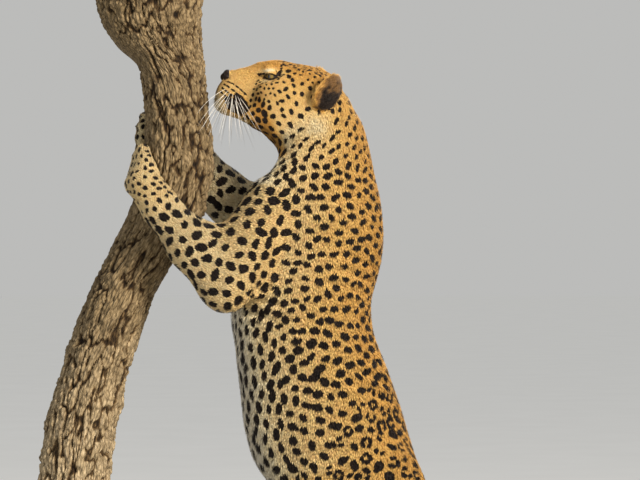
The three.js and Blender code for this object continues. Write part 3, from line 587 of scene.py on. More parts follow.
def on_ears(co, rule):
    """A value over each ear, by a rule of its points, their shares of height and of depth, and how far
    they face back and out; nothing elsewhere."""
    normal = normals_of(skin)
    found = np.zeros(len(co))
    for side, sign in (("left", -1), ("right", 1)):
        mine = owned_by("ear_" + side)
        place = in_head(co[mine])
        low, high = place.min(0), place.max(0)
        back, up, _ = ((place - low) / (high - low)).T
        facing = normal[mine] @ unit(0.60 * BACKWARD + sign * 0.75 * ACROSS)
        found[mine] = rule(co[mine], up, back, facing)
    return found


def brown_of_ears(points, up, back, facing):
    front_rim = smooth_step(0.08, 0.26, back + 0.14 * lattice(points, 0.008, 14))
    return front_rim * smooth_step(-0.1, 0.3, facing) * smooth_step(1.06, 0.92, up)


def lip_hair_and_shadow(co):
    """1 on the dark side of the lower lip, falling off round it: its dark hair and a painted shadow under
    the whisker pad.
    """
    d, h, _ = in_head(co).T
    return hump(d, 0.052, 0.024) * hump(h, -0.050, 0.019)


def throat_of(co):
    """1 along the underside of the jaw and the throat, seen from the side a strip behind the chin."""
    d, h, _ = in_head(co).T
    above = h + 0.058 + 0.98 * (d - 0.111)
    strip = owned_by("head", "lower_jaw", "neck") * smooth_step(0.034, 0.008, above)
    return strip * smooth_step(0.070, 0.100, d) * smooth_step(0.215, 0.175, d)


# gold on the inner and on the outer side of each limb, and how much of the trunk's own is kept
LIMB_GOLD = {
    "upper_arm_": (0.36, 0.58, 0.25), "forearm_": (0.25, 0.38, 0.0), "forepaw_": (0.30, 0.42, 0.0),
    "thigh_": (0.2, 0.85, 0.5), "shank_": (0.2, 0.66, 0.0), "hind_foot_": (0.3, 0.55, 0.0),
}


def gold_of(co):
    """0 is white fur, about 0.45 the cream of the arms, 1 the deep gold of the back."""
    normal = normals_of(skin)
    # across the trunk, from belly to back, at each height
    body = owned_by("chest", "belly", "hips", "neck")
    z = co[:, 2]
    heights = np.arange(0.40, 1.30, 0.05)
    rings = [co[body & (np.abs(z - h) < 0.03), 0] for h in heights]
    front = np.interp(z, heights, [ring.min() for ring in rings])
    back = np.interp(z, heights, [ring.max() for ring in rings])
    share = np.clip((co[:, 0] - front) / (back - front), 0, 1)
    gold = np.interp(share, (0, 0.06, 0.20, 0.42, 0.70, 1.0), (0.0, 0.08, 0.34, 0.52, 0.74, 0.96))
    gold[owned_by("ear_left", "ear_right")] = 0.6
    for side, inward in (("left", 1.0), ("right", -1.0)):
        for limb, (pale, rich, keep) in LIMB_GOLD.items():
            mine = owned_by(limb + side)
            shade = pale + (rich - pale) * smooth_step(0.7, -0.2, inward * normal[mine, 1])
            gold[mine] = keep * gold[mine] + (1 - keep) * shade
    up = normal[:, 2]
    tail = owned_by("tail_base", "tail_middle", "tail_tip")
    gold = np.where(tail, np.interp(up, (-0.8, -0.1, 0.5), (0.05, 0.5, 0.8)), gold)
    # the head: white chin and throat, cream cheek, golden crown
    d, h, _ = in_head(co).T
    crown = np.interp(h, (-0.085, -0.055, -0.02, 0.03, 0.06), (0.30, 0.44, 0.58, 0.72, 0.92))
    crown = np.where(owned_by("lower_jaw"), 0.34, crown)
    under = 0.7 * hump(h, 0.0200 + 0.30 * (d - 0.090), 0.0040) * hump(d, 0.090, 0.010)
    over = hump(h, 0.0425 + 0.36 * (d - 0.089), 0.0046) * hump(d, 0.087, 0.016)
    behind = 0.6 * hump(d, 0.1185, 0.0055) * hump(h, 0.044, 0.010)
    crown = crown * (1 - 0.97 * np.clip(under + over + behind, 0, 1))
    chin = smooth_step(0.034, 0.016, d) * smooth_step(-0.030, -0.044, h)
    crown = crown + (0.24 - crown) * 0.8 * chin
    # the side of the lower lip turns brown: its dark hair, and a painted shadow under the whisker pad
    crown = crown + (BROWN - crown) * 0.85 * np.clip(1.3 * lip_hair_and_shadow(co), 0, 1)
    gold = np.where(owned_by("head", "lower_jaw"), crown, gold)
    # the throat is darker, partly its own duller brown and partly painted shade on the underside, and a
    # cream patch lies behind and under the ear
    gold = gold + (1.20 - gold) * 0.80 * throat_of(co)
    patch = hump(d, 0.226, 0.026) * hump(h, -0.030, 0.024)
    gold = gold + (0.26 - gold) * np.clip(1.1 * patch, 0, 1)
    gold = net.spread(gold, 9)
    ear = net.spread(owned_by("ear_left", "ear_right").astype(float), 2)
    return gold * (1 - ear) + ear * (0.74 + (BROWN - 0.74) * on_ears(co, brown_of_ears))


gold = gold_of(points_of(skin)) + 0.04 * lattice(points_of(skin), 0.045, 5)


# ---- spots ----
EDGE_OF_SPOT = 0.14  # share of a spot's half width over which it fades


class Dabs:
    """Every dark mark, as a small tilted oval on the skin."""

    def __init__(self):
        self.marks = []

    def add(self, centre, along, normal, long_half, short_half, strength=1.0):
        along = unit(along - (along @ normal) * normal)
        across = np.cross(normal, along)
        self.marks.append((centre, along, across, (long_half, short_half), strength))

    def darkness(self, points, roughness=0.16):
        """How dark the coat is at each point, 0 to 1."""
        tree = tree_of(points)
        wobble = lattice(points, 0.0055, 3) * 0.6 + lattice(points, 0.011, 4) * 0.8
        dark = np.zeros(len(points))
        for centre, along, across, (long_half, short_half), strength in self.marks:
            found = tree.find_range(centre, max(long_half, short_half) * 1.5)
            if not found:
                continue
            index = np.array([f[1] for f in found])
            away = points[index] - centre
            q = np.sqrt(((away @ along) / long_half) ** 2 + ((away @ across) / short_half) ** 2)
            q = q + roughness * wobble[index]
            value = strength * np.clip((1.0 - q) / EDGE_OF_SPOT + 0.5, 0, 1)
            dark[index] = np.maximum(dark[index], value)
        return dark


def scatter(co, spacing, allowed):
    """Points of the skin that keep their own spacing from each other."""
    tree = tree_of(co)
    free = allowed.copy()
    kept = []
    for i in RANDOM.permutation(len(co)).tolist():
        if not free[i]:
            continue
        kept.append(i)
        for _, j, _ in tree.find_range(co[i], spacing[i] * 0.86):
            free[j] = False
    # Each is moved to the middle of the room it has, so that the rows look grown.
    for _ in range(3):
        centres = tree_of(co[kept])
        sample = np.nonzero(allowed)[0][::3]
        mine = np.array([centres.find(p)[1] for p in co[sample].tolist()])
        counts = np.bincount(mine, minlength=len(kept))
        sums = [np.bincount(mine, co[sample, k], len(kept)) for k in range(3)]
        means = np.stack(sums, 1) / np.maximum(counts, 1)[:, None]
        means = np.where((counts > 0)[:, None], means, co[kept])
        kept = [tree.find(p)[1] for p in means.tolist()]
    return kept


def turned(along, normal, angle):
    across = np.cross(normal, along)
    return math.cos(angle) * along + math.sin(angle) * across


def spot_style(kind, place, golden):
    """A spot's stretch, its tilt to the lie of the coat, its share of the full size, and how likely it is
    to be a rosette."""
    x, y, z = place
    stretch, tilt, size, open_ = RANDOM.uniform(1.1, 1.5), RANDOM.uniform(-1.5, 1.5), 1.0, 0.0
    if kind in ("belly", "hips"):
        open_ = 0.46 * smooth_step(0.55, 0.75, golden) * smooth_step(0.84, 0.72, z)
    elif kind == "thigh":
        open_ = 0.5 * smooth_step(0.45, 0.7, golden) * smooth_step(0.42, 0.5, z)
    elif kind == "tail_base":
        open_ = 0.4
    if kind in ("belly", "chest") and golden < 0.42:
        stretch, tilt = 1.55, RANDOM.normal(0, 0.25)
    elif kind == "chest" and x > 0.0:
        stretch, tilt, size = RANDOM.uniform(1.2, 1.6), math.pi / 2 + RANDOM.normal(0, 0.4), 0.93
    elif kind in ("belly", "hips") and golden > 0.5:
        stretch, tilt = RANDOM.uniform(1.2, 1.6), math.pi / 2 + RANDOM.normal(0, 0.5)
    elif kind == "neck":
        stretch, tilt = RANDOM.uniform(1.4, 2.1), (0.75 + RANDOM.normal(0, 0.25)) * np.sign(y)
    elif kind in ("tail_middle", "tail_tip"):
        stretch, tilt = 1.5, math.pi / 2 + RANDOM.normal(0, 0.2)
    return stretch, tilt, size, open_


def rosette(dabs, place, n, f, a):
    """Two to four blotches round a tawny middle."""
    count = int(RANDOM.integers(2, 5))
    turn = RANDOM.uniform(0, 6.28)
    ring = a * (0.82 if count > 2 else 0.66)
    for q in range(count):
        angle = turn + q * 6.28 / (count + 0.4) + RANDOM.normal(0, 0.15)
        size = a * RANDOM.uniform(0.48, 0.60)
        way = turned(f, n, angle + 1.57)
        dabs.add(place + turned(f, n, angle) * ring, way, n, size * 1.35, size * 0.86)


def solid_spot(dabs, place, n, f, a, kind, stretch, tilt):
    """An oval spot; some have a second lobe, which makes a bean or a drop."""
    way = turned(f, n, tilt)
    dabs.add(place, way, n, a * stretch**0.6, a / stretch**0.5)
    lobed = 0.12 if kind in ("belly", "hips") else 0.30
    if RANDOM.random() < lobed and kind not in ("head", "lower_jaw", "forepaw", "hind_foot"):
        shift = turned(f, n, tilt + RANDOM.normal(0, 0.5)) * a * RANDOM.uniform(0.7, 1.0)
        dabs.add(place + shift, way, n, a * 0.66, a * 0.55)


def draw_spots(skin):
    co, normal = points_of(skin), normals_of(skin)
    half = net.spread(mixed[:, 4], 12) * MM
    spacing = net.spread(mixed[:, 5], 12) * MM
    # larger and wider apart on the jaw and the cheek
    d, h, _ = in_head(co).T
    head = owned_by("head", "lower_jaw")
    jaw = smooth_step(0.0, -0.055, h) * smooth_step(0.065, 0.12, d)
    cheek = smooth_step(0.108, 0.145, d) * smooth_step(0.055, 0.025, h)
    wider = head * np.maximum(jaw, 0.85 * cheek)
    half = half + wider * 2.5 * MM + throat_of(co) * 2.4 * MM
    # none on the muzzle, the brow, the lids, the ears and the cream patch on the neck under the ear
    plain = head & ((d < 0.070) | ((d < 0.108) & (h > 0.032)) | (eye_rim > 0.02))
    plain |= owned_by("ear_left", "ear_right")
    plain |= ((d - 0.226) / 0.030) ** 2 + ((h + 0.032) / 0.026) ** 2 < 1
    dabs = Dabs()
    for i in scatter(co, spacing + wider * 6.5 * MM, ~plain):
        kind = kinds[node_of[i]]
        stretch, tilt, size, open_ = spot_style(kind, co[i], gold[i])
        a = half[i] * size * RANDOM.uniform(0.82, 1.14)
        if RANDOM.random() < open_:
            rosette(dabs, co[i], normal[i], flow[i], a)
        else:
            solid_spot(dabs, co[i], normal[i], flow[i], a, kind, stretch, tilt)
    return dabs


dabs = draw_spots(skin)


def face_marks(skin, dabs):
    """Whisker rows, brow and eye lines, on both sides of the head."""
    tree = surface_of(skin)

    def mark(back, up, out, way, long_half, short_half, strength=1.0):
        for sign in (-1, 1):
            target = Vector(from_head(back, up, sign * out))
            at, n, _, _ = tree.find_nearest(target)
            direction = way[0] * BACKWARD + way[1] * UPWARD + sign * way[2] * ACROSS
            dabs.add(np.array(at), direction, np.array(n), long_half, short_half, strength)

    # rows of dark dashes on each whisker pad, from the nose back
    for row in range(4):
        for step in range(5):
            back = 0.0125 + 0.0106 * step + (0.005 if row == 0 else 0)
            up = -0.0075 - 0.0090 * row - 0.0031 * step
            mark(back, up, 0.040, (1, -0.30, 0.2), 0.0058, 0.0023)
    # dark hair on the side of the lower lip and a painted shadow under the whisker pad, in streaks that
    # spread from the whisker pad
    for _ in range(150):
        turn, reach = RANDOM.uniform(0, 2 * math.pi), RANDOM.uniform(0, 1) ** 0.5
        back, up = 0.051 + 0.027 * reach * math.cos(turn), -0.050 + 0.019 * reach * math.sin(turn)
        way = (back - 0.022, up + 0.014, 0.0)
        long_half, short_half = RANDOM.uniform(0.004, 0.008), RANDOM.uniform(0.0012, 0.0021)
        mark(back, up, 0.045, way, long_half, short_half, 0.9)
    for step in range(6):
        mark(0.026 + 0.0095 * step, -0.0455 - 0.0004 * step, 0.045, (1, 0, 0.3), 0.0075, 0.0036)
    # short dark streaks between the small spots of the crown
    for _ in range(40):
        spans = ((0.115, 0.20), (0.052, 0.075), (0.006, 0.046), (-0.2, 0.4), (0.0025, 0.0045))
        back, up, out, rise, long_half = [RANDOM.uniform(*span) for span in spans]
        mark(back, up, out, (1, rise, 0), long_half, 0.0014, 0.75)
    # dark lines and spots over and behind the eye: (back, up, out, way, half length, half width)
    for back, up, out, way, long_half, short_half in (
        (0.078, 0.0305, 0.026, (1, 0.36, 0.3), 0.0110, 0.0021),
        (0.112, 0.0430, 0.052, (0.3, 1, 0), 0.0085, 0.0036),
        (0.116, 0.0610, 0.040, (1, 0.5, 0), 0.0085, 0.0044),
        (0.130, 0.0500, 0.052, (0.6, 1, 0), 0.0064, 0.0052),
        (0.136, 0.0370, 0.058, (0.4, 1, 0), 0.0056, 0.0044),
        (0.124, 0.0335, 0.058, (1, 0.2, 0), 0.0080, 0.0018),
        (0.125, 0.0250, 0.060, (0.4, 1, 0), 0.0045, 0.0036),
        (0.128, 0.0680, 0.034, (1, 0.3, 0), 0.0062, 0.0030),
        (0.104, 0.0680, 0.026, (1, 0.6, 0), 0.0060, 0.0022),
    ):
        mark(back, up, out, way, long_half, short_half)


face_marks(skin, dabs)


# ---- colours and nodes ----
def srgb(code):
    """A colour written as sRGB hex, made linear."""
    parts = [int(code[i : i + 2], 16) / 255 for i in (1, 3, 5)]
    linear = [p / 12.92 if p <= 0.04045 else ((p + 0.055) / 1.055) ** 2.4 for p in parts]
    return (*linear, 1.0)


def add_node(tree, kind, links=None, inputs=None, **settings):
    """One shader node with its settings, its fixed inputs, and links into its sockets."""
    node = tree.nodes.new("ShaderNode" + kind)
    for key, value in settings.items():
        setattr(node, key, value)
    for key, value in (inputs or {}).items():
        node.inputs[key].default_value = value
    for key, source in (links or {}).items():
        tree.links.new(source, node.inputs[key])
    return node


def new_material(name, **uniform):
    """A principled material with its uniform numbers, such as Coat_Weight=1, and the piece's coordinates."""
    material = bpy.data.materials.new(name)
    material.use_nodes = True
    tree = material.node_tree
    tree.nodes.clear()
    output = add_node(tree, "OutputMaterial")
    shader = add_node(tree, "BsdfPrincipled")
    tree.links.new(shader.outputs[0], output.inputs[0])
    for key, value in uniform.items():
        shader.inputs[key.replace("_", " ")].default_value = value
    return material, tree, shader, add_node(tree, "TexCoord").outputs["Object"]


def ramp(tree, source, stops, interpolation="LINEAR"):
    node = add_node(tree, "ValToRGB", {"Fac": source})
    node.color_ramp.interpolation = interpolation
    elements = node.color_ramp.elements
    while len(elements) < len(stops):
        elements.new(0.5)
    for element, (at, code) in zip(elements, stops):
        element.position = at
        element.color = srgb(code) if isinstance(code, str) else (code, code, code, 1)
    return node.outputs["Color"]


def mix(tree, factor, a, b, blend="MIX"):
    node = add_node(tree, "Mix", data_type="RGBA", blend_type=blend)
    for socket, value in (("Factor_Float", factor), ("A_Color", a), ("B_Color", b)):
        target = next(s for s in node.inputs if s.identifier == socket)
        if isinstance(value, (int, float, tuple)):
            target.default_value = value
        else:
            tree.links.new(value, target)
    return next(s for s in node.outputs if s.identifier == "Result_Color")


def attribute(tree, name, output="Fac"):
    return add_node(tree, "Attribute", attribute_name=name).outputs[output]


def bumped(tree, shader, height, strength, distance):
    bump = add_node(tree, "Bump", {"Height": height}, {"Strength": strength, "Distance": distance})
    tree.links.new(bump.outputs[0], shader.inputs["Normal"])


def streaked(name, grain, stops, bump=None, **uniform):
    """A material whose colour wanders between two tones, along a noise of this size and stretch."""
    material, tree, shader, coords = new_material(name, **uniform)
    streaks = noise(tree, coords, *grain)
    tree.links.new(ramp(tree, streaks, stops), shader.inputs["Base Color"])
    if bump:
        bumped(tree, shader, streaks, *bump)
    return material, tree, shader, streaks


def noise(tree, coords, per_mm, detail=3.0, scale=(1, 1, 1)):
    mapping = add_node(tree, "Mapping", {"Vector": coords}, {"Scale": scale})
    node = add_node(
        tree, "TexNoise", {"Vector": mapping.outputs[0]},
        {"Scale": 1000 / per_mm, "Detail": detail},
    )
    return node.outputs["Fac"]


# the colour of the coat for each value of gold
GOLDS = (
    (0.0, "#e9e3d6"), (0.22, "#e6d7b2"), (0.45, "#e2c48c"), (0.68, "#dab26c"), (0.86, "#cfa055"),
    (1.0, "#c08f44"), (BROWN, "#6f5230"),
)


def fur_material(name, tip_gain):
    """Short guard hair: dull and faintly sheened, with painted shade along each tuft that is darkest at the
    root and lightest at the tip.
    """
    material, tree, shader, coords = new_material(
        name, Roughness=0.66, Specular_IOR_Level=0.22, Sheen_Weight=0.03, Sheen_Roughness=0.45
    )
    parts = add_node(tree, "SeparateColor", {"Color": attribute(tree, "markings", "Color")})
    spot, gold_, along = parts.outputs
    base = ramp(tree, gold_, [(at / BROWN, code) for at, code in GOLDS])
    patches = noise(tree, coords, 9.0, 4.0)
    base = mix(tree, 0.16, base, ramp(tree, patches, [(0.3, "#7a6444"), (0.7, "#fff4de")]), "OVERLAY")
    # painted shade along each tuft: darkest at its root, where the hairs shade each other, and lightest at
    # its tip
    depth = ramp(tree, along, [(0.0, 0.83), (0.45, 0.97), (1.0, tip_gain)])
    base = mix(tree, 1.0, base, depth, "MULTIPLY")
    black = ramp(tree, patches, [(0.3, "#0d0704"), (0.75, "#24160d")])
    # the edge of a spot is kept sharp where it crosses a tuft
    colour = mix(tree, ramp(tree, spot, [(0.32, 0.0), (0.62, 1.0)]), base, black)
    tree.links.new(colour, shader.inputs["Base Color"])
    return material


SKIN_MATERIAL = fur_material("short_underfur_on_skin", 1.0)
COAT_MATERIAL = fur_material("guard_hair_of_the_coat", 1.05)


def front_of_ears(points, up, back, facing):
    """1 along the front edge of each ear, where its longest hair grows."""
    return smooth_step(0.34, 0.14, back) * smooth_step(1.0, 0.8, up)


def dark_of_ears(points, up, back, facing):
    """The backs of the ears are near black across the lower middle."""
    wave = 0.16 * lattice(points, 0.010, 12) + 0.10 * lattice(points, 0.005, 15)
    band = smooth_step(0.84, 0.38, up + wave) * smooth_step(0.0, 0.10, up)
    return band * smooth_step(0.16, 0.44, back + wave) * smooth_step(0.0, 0.4, facing)


# back, up and out of the nose pad's top, of its lower lobe and of its wings, and their half sizes
NOSE_TOP, TOP_SIZE = (0.0150, 0.0045, 0.0), (0.0165, 0.0212, 0.0146)
NOSE_LOBE, LOBE_SIZE = (0.0080, -0.0010, 0.0), (0.0112, 0.0140, 0.0098)
NOSE_WING, WING_SIZE = (0.0120, 0.0000, 0.0145), (0.0100, 0.0085, 0.0085)
LEATHER_END = 0.0165  # level distance from the nose tip to the end of the leather


def leather_share(co):
    """1 on the nose in front of the upright line where its leather ends, 0 behind it."""
    return smooth_step(LEATHER_END + 0.0012, LEATHER_END - 0.0012, co[:, 0] - NOSE_TIP[0])


def nose_patch(co):
    """1 where the nose leather lies and no hair grows."""
    d, h, c = in_head(co).T
    lobes = [
        ((d - back) / a) ** 2 + ((h - up) / e) ** 2 + ((np.abs(c) - out) / b) ** 2
        for (back, up, out), (a, b, e) in (
            (NOSE_TOP, TOP_SIZE), (NOSE_LOBE, LOBE_SIZE), (NOSE_WING, WING_SIZE)
        )
    ]
    return smooth_step(1.40, 1.20, np.min(lobes, 0)) * leather_share(co)


# ---- the skin is drawn in by the coat's depth, unwrapped and given its marks ----
def write_marks(mesh, marks):
    layer = mesh.color_attributes.new("markings", "FLOAT_COLOR", "POINT")
    layer.data.foreach_set("color", np.ascontiguousarray(marks, np.float32).ravel())


outer = points_of(skin)
outer_normal = normals_of(skin)
depth = net.spread(mixed[:, 0], 6) * MM
near_eye = np.minimum(*[np.linalg.norm(outer - EYES[s], axis=1) for s in SIDES])
depth = depth * smooth_step(EYE_RADIUS, EYE_RADIUS * 1.9, near_eye)
# soft dark marks without an edge: the dark backs of the ears, and the side of the lower lip, where dark hair
# and a painted shadow under the whisker pad lie
ears_dark = net.spread(on_ears(outer, dark_of_ears), 1)
painted = np.maximum(ears_dark, lip_hair_and_shadow(outer) * (0.50 + 0.16 * lattice(outer, 0.005, 16)))
dark = np.maximum(np.maximum(dabs.darkness(outer), eye_rim), painted)
bare = np.maximum(eye_rim, nose_patch(outer))
put_points(skin, outer - outer_normal * depth[:, None])

only(skin)
edit_mode(True)
bpy.ops.mesh.select_all(action="SELECT")
bpy.ops.uv.smart_project(angle_limit=math.radians(66), island_margin=0.002)
edit_mode(False)
skin.data.uv_layers.active.name = "OFBake"
# painted shade on the skin seen between the tufts
SKIN_LIGHT = 0.45  # as light as a tuft at its knee
write_marks(skin.data, np.stack((dark, gold / BROWN, 0 * dark + SKIN_LIGHT, 0 * dark + 1), 1))
skin.data.polygons.foreach_set("use_smooth", np.ones(len(skin.data.polygons), bool))
settle(skin, FLESH, SKIN_MATERIAL)


# ---- the coat ----
TUFT_SHARE = 1.0
BODY_ROOM = 2.9 * MM  # spacing of the roots on the body
PATCH = 0.0015  # half of a tuft's own patch on the unwrap


def skin_faces(skin):
    """The skin's faces as triangles, with their corners on the unwrap."""
    mesh = skin.data
    mesh.calc_loop_triangles()
    corner = read(mesh.loop_triangles, "vertices", 3, np.int32)
    loop = read(mesh.loop_triangles, "loops", 3, np.int32)
    return corner, read(mesh.uv_layers["OFBake"].data, "uv", 2)[loop]


def roots_on(skin, room):
    """Places of tufts, spread evenly over the faces with this room for each vertex."""
    corner, uv = skin_faces(skin)
    co = points_of(skin)
    a, b, c = co[corner[:, 0]], co[corner[:, 1]], co[corner[:, 2]]
    area = np.linalg.norm(np.cross(b - a, c - a), axis=1) / 2
    wanted = TUFT_SHARE * area / (room[corner].mean(1) ** 2)
    count = np.floor(wanted + RANDOM.random(len(wanted))).astype(int)
    face = np.repeat(np.arange(len(count)), count)
    r, s = RANDOM.random((2, len(face)))
    flip = r + s > 1
    r, s = np.where(flip, 1 - r, r), np.where(flip, 1 - s, s)
    share = np.stack((1 - r - s, r, s), 1)
    return corner[face], share, (uv[face] * share[:, :, None]).sum(1)


# a tuft's blade: how far along and how high its knee is, and its ridge and root, as shares or lengths
KNEE_ALONG, KNEE_HIGH, RIDGE = 0.42, 0.62, 0.12
ROOT_DEEP, ROOT_BACK = 0.6 * MM, 0.5 * MM
BLADE = np.array(((0, 2, 1), (0, 3, 2), (0, 1, 3), (4, 1, 2), (4, 2, 3), (4, 3, 1)))
# painted shade along a tuft, darkest at its root
LIGHT_ALONG = np.array((0.0, 0.45, 0.55, 0.45, 1.0))  # from the root to the tip


def tuft_mesh(name, root, normal, way, length, width, lift, marks, uv):
    """Each tuft is a closed folded blade: a root in the skin, a ridge and two edges, and a tip."""
    n = len(root)
    across = np.cross(way, normal)
    knee = root + way * (length * KNEE_ALONG)[:, None] + normal * (lift * KNEE_HIGH)[:, None]
    tip = root + way * length[:, None] + normal * lift[:, None]
    base = root - normal * ROOT_DEEP - way * ROOT_BACK
    w = (width / 2)[:, None]
    ridge = knee + normal * (width * RIDGE)[:, None]
    corners = np.stack((base, knee + across * w, ridge, knee - across * w, tip), 1)
    index = (np.arange(n)[:, None, None] * 5 + BLADE).reshape(-1)
    mesh = bpy.data.meshes.new(name)
    mesh.vertices.add(n * 5)
    mesh.vertices.foreach_set("co", corners.astype(np.float32).ravel())
    mesh.loops.add(n * 18)
    mesh.loops.foreach_set("vertex_index", index.astype(np.int32))
    mesh.polygons.add(n * 6)
    mesh.polygons.foreach_set("loop_start", np.arange(n * 6, dtype=np.int32) * 3)
    mesh.polygons.foreach_set("use_smooth", np.ones(n * 6, bool))
    spots = np.empty((n, 5, 4), np.float32)
    spots[:, :4, 0] = marks[:, None, 0]
    spots[:, 4, 0] = marks[:, 2]
    spots[:, :, 1] = marks[:, None, 1]
    spots[:, :, 2] = LIGHT_ALONG * marks[:, 3:]
    spots[:, :, 3] = 1
    write_marks(mesh, spots)
    patch = np.array(((-1, 0), (0, -1), (0, 0), (0, 1), (1, 0))) * PATCH
    spread = (uv[:, None] + patch[None]).astype(np.float32)
    mesh.uv_layers.new(name="OFBake").data.foreach_set("uv", spread.reshape(-1, 2)[index].ravel())
    mesh.update()
    mesh.validate()
    return placed(name, mesh)


REGIONS = {
    "coat_head": ("head", "lower_jaw"),
    "coat_ears": ("ear_left", "ear_right"),
    "coat_neck": ("neck",),
    "coat_chest": ("chest",),
    "coat_belly": ("belly",),
    "coat_hips": ("hips",),
    "coat_tail": ("tail_base", "tail_middle", "tail_tip"),
    "coat_left_arm": ("upper_arm_left", "forearm_left"),
    "coat_right_arm": ("upper_arm_right", "forearm_right"),
    "coat_forepaws": ("forepaw_left", "forepaw_right"),
    "coat_left_leg": ("thigh_left", "shank_left"),
    "coat_right_leg": ("thigh_right", "shank_right"),
    "coat_hind_feet": ("hind_foot_left", "hind_foot_right"),
}


def grow_coat(skin):
    width = net.spread(mixed[:, 2], 6) * MM
    widest = max(c[2] for c in COATS.values()) * MM
    corner, share, uv = roots_on(skin, BODY_ROOM * (width / widest) ** 1.2)
    count = len(corner)

    def here(values):
        """Values of the skin's points, at each root."""
        values = values[corner]
        weight = share if values.ndim == 2 else share[:, :, None]
        return (values * weight).sum(1)

    root, normal, way = here(points_of(skin)), unit(here(outer_normal)), here(flow)
    width, lift, golden = here(width), here(depth), here(gold)
    length = here(net.spread(mixed[:, 1], 6) * MM) * (1 + 1.2 * here(on_ears(outer, front_of_ears)))
    owner = node_of[corner[np.arange(count), share.argmax(1)]]
    # a little disorder in the lie, shared by neighbours
    turn = (0.16 * lattice(root, 0.018, 8) + RANDOM.normal(0, 0.13, count))[:, None]
    way = on_surface(unit(way * np.cos(turn) + np.cross(normal, way) * np.sin(turn)), normal)
    # longer, looser white hair down the middle of the underside
    under = smooth_step(0.32, 0.08, golden) * owned_by("chest", "belly", "hips", owner=owner)
    length = length * (1 + 0.8 * under) * RANDOM.uniform(0.72, 1.22, count)
    lift = lift * (1 + 0.35 * under) * RANDOM.uniform(0.75, 1.12, count)
    shaded = np.maximum(here(painted) * (1 + RANDOM.normal(0, 0.14, count)), here(eye_rim))
    spot, tip_spot = [
        np.maximum(dabs.darkness(root + normal * lift[:, None] + way * (length * part)[:, None]), shaded)
        for part in (0.38, 0.80)
    ]
    # painted shade: the flat fine hair of the head has less light in its tips than the body's, in place of
    # the shadow that the body's lifted tufts cast on one another
    fine = here(net.spread((node_of < len(HEAD_NODES)).astype(float), 30))
    golden = (golden + RANDOM.normal(0, 0.03, count)) / BROWN
    marks = np.stack((spot, golden, tip_spot, 1 - 0.65 * fine), 1)
    hairy = here(bare) < 0.35
    width = width / TUFT_SHARE**0.5
    for name, nodes in REGIONS.items():
        mine = owned_by(*nodes, owner=owner) & hairy
        tufts = [part[mine] for part in (root, normal, way, length, width, lift, marks, uv)]
        settle(tuft_mesh(name, *tufts), (), COAT_MATERIAL)


grow_coat(skin)


# ---- eyes ----
def eye_material():
    """A living eye: amber iris with radial fibres, round pupil, dark rim, under a wet clear film."""
    material, tree, shader, coords = new_material(
        "wet_amber_eye", Roughness=0.25, Coat_Weight=1.0, Coat_Roughness=0.02, Coat_IOR=1.38
    )
    angle = attribute(tree, "off_axis")
    rings = ramp(tree, angle, [(0.14, "#6b5a2a"), (0.30, "#94803f"), (0.46, "#5f4f24")])
    fibres = ramp(tree, noise(tree, coords, 1.4), [(0.3, "#4c3a18"), (0.7, "#c9b472")])
    iris = mix(tree, 0.55, rings, fibres, "OVERLAY")
    rim = ramp(tree, angle, [(0.43, 0.0), (0.49, 1.0)])
    pupil = ramp(tree, angle, [(0.125, 1.0), (0.145, 0.0)])
    colour = mix(tree, rim, iris, srgb("#1a100a"))
    colour = mix(tree, pupil, colour, srgb("#030202"))
    tree.links.new(colour, shader.inputs["Base Color"])
    return material


def make_eye(side, material):
    axis, along, _ = eye_frame(side)
    only()
    ball = EYE_RADIUS - 1.2 * MM  # the lids lie outside it
    bpy.ops.mesh.primitive_uv_sphere_add(segments=48, ring_count=40, radius=ball)
    eye = bpy.context.active_object
    eye.name = eye.data.name = "eyeball_" + side
    co = points_of(eye)
    angle = np.arccos(np.clip(co[:, 2] / np.linalg.norm(co, axis=1), -1, 1))
    # the clear front stands out from the ball
    co = co * (1 + 0.07 * smooth_step(0.80, 0.10, angle))[:, None]
    turn = np.stack((along, np.cross(axis, along), axis), 1)
    put_points(eye, co @ turn.T + EYES[side])
    write_values(eye, "off_axis", "FLOAT", "value", angle / (math.pi / 2))
    bpy.ops.object.shade_smooth()
    return settle(eye, ("eye_" + side,), material)


EYE_MATERIAL = eye_material()
for side in SIDES:
    make_eye(side, EYE_MATERIAL)


# ---- nose pad ----
def nose_material():
    """Moist nose leather: near black, pebbled, glossy on the high points."""
    material, tree, shader, _ = streaked(
        "moist_nose_leather", (3.0,), [(0.3, "#0e0908"), (0.75, "#2a1a15")],
        Roughness=0.48, Specular_IOR_Level=0.30, Coat_Weight=0.06,
    )
    coords = add_node(tree, "TexCoord").outputs["Object"]
    pebbles = add_node(tree, "TexVoronoi", {"Vector": coords}, {"Scale": 1000 / 1.6})
    bumped(tree, shader, pebbles.outputs["Distance"], 0.5, 0.0006)
    return material


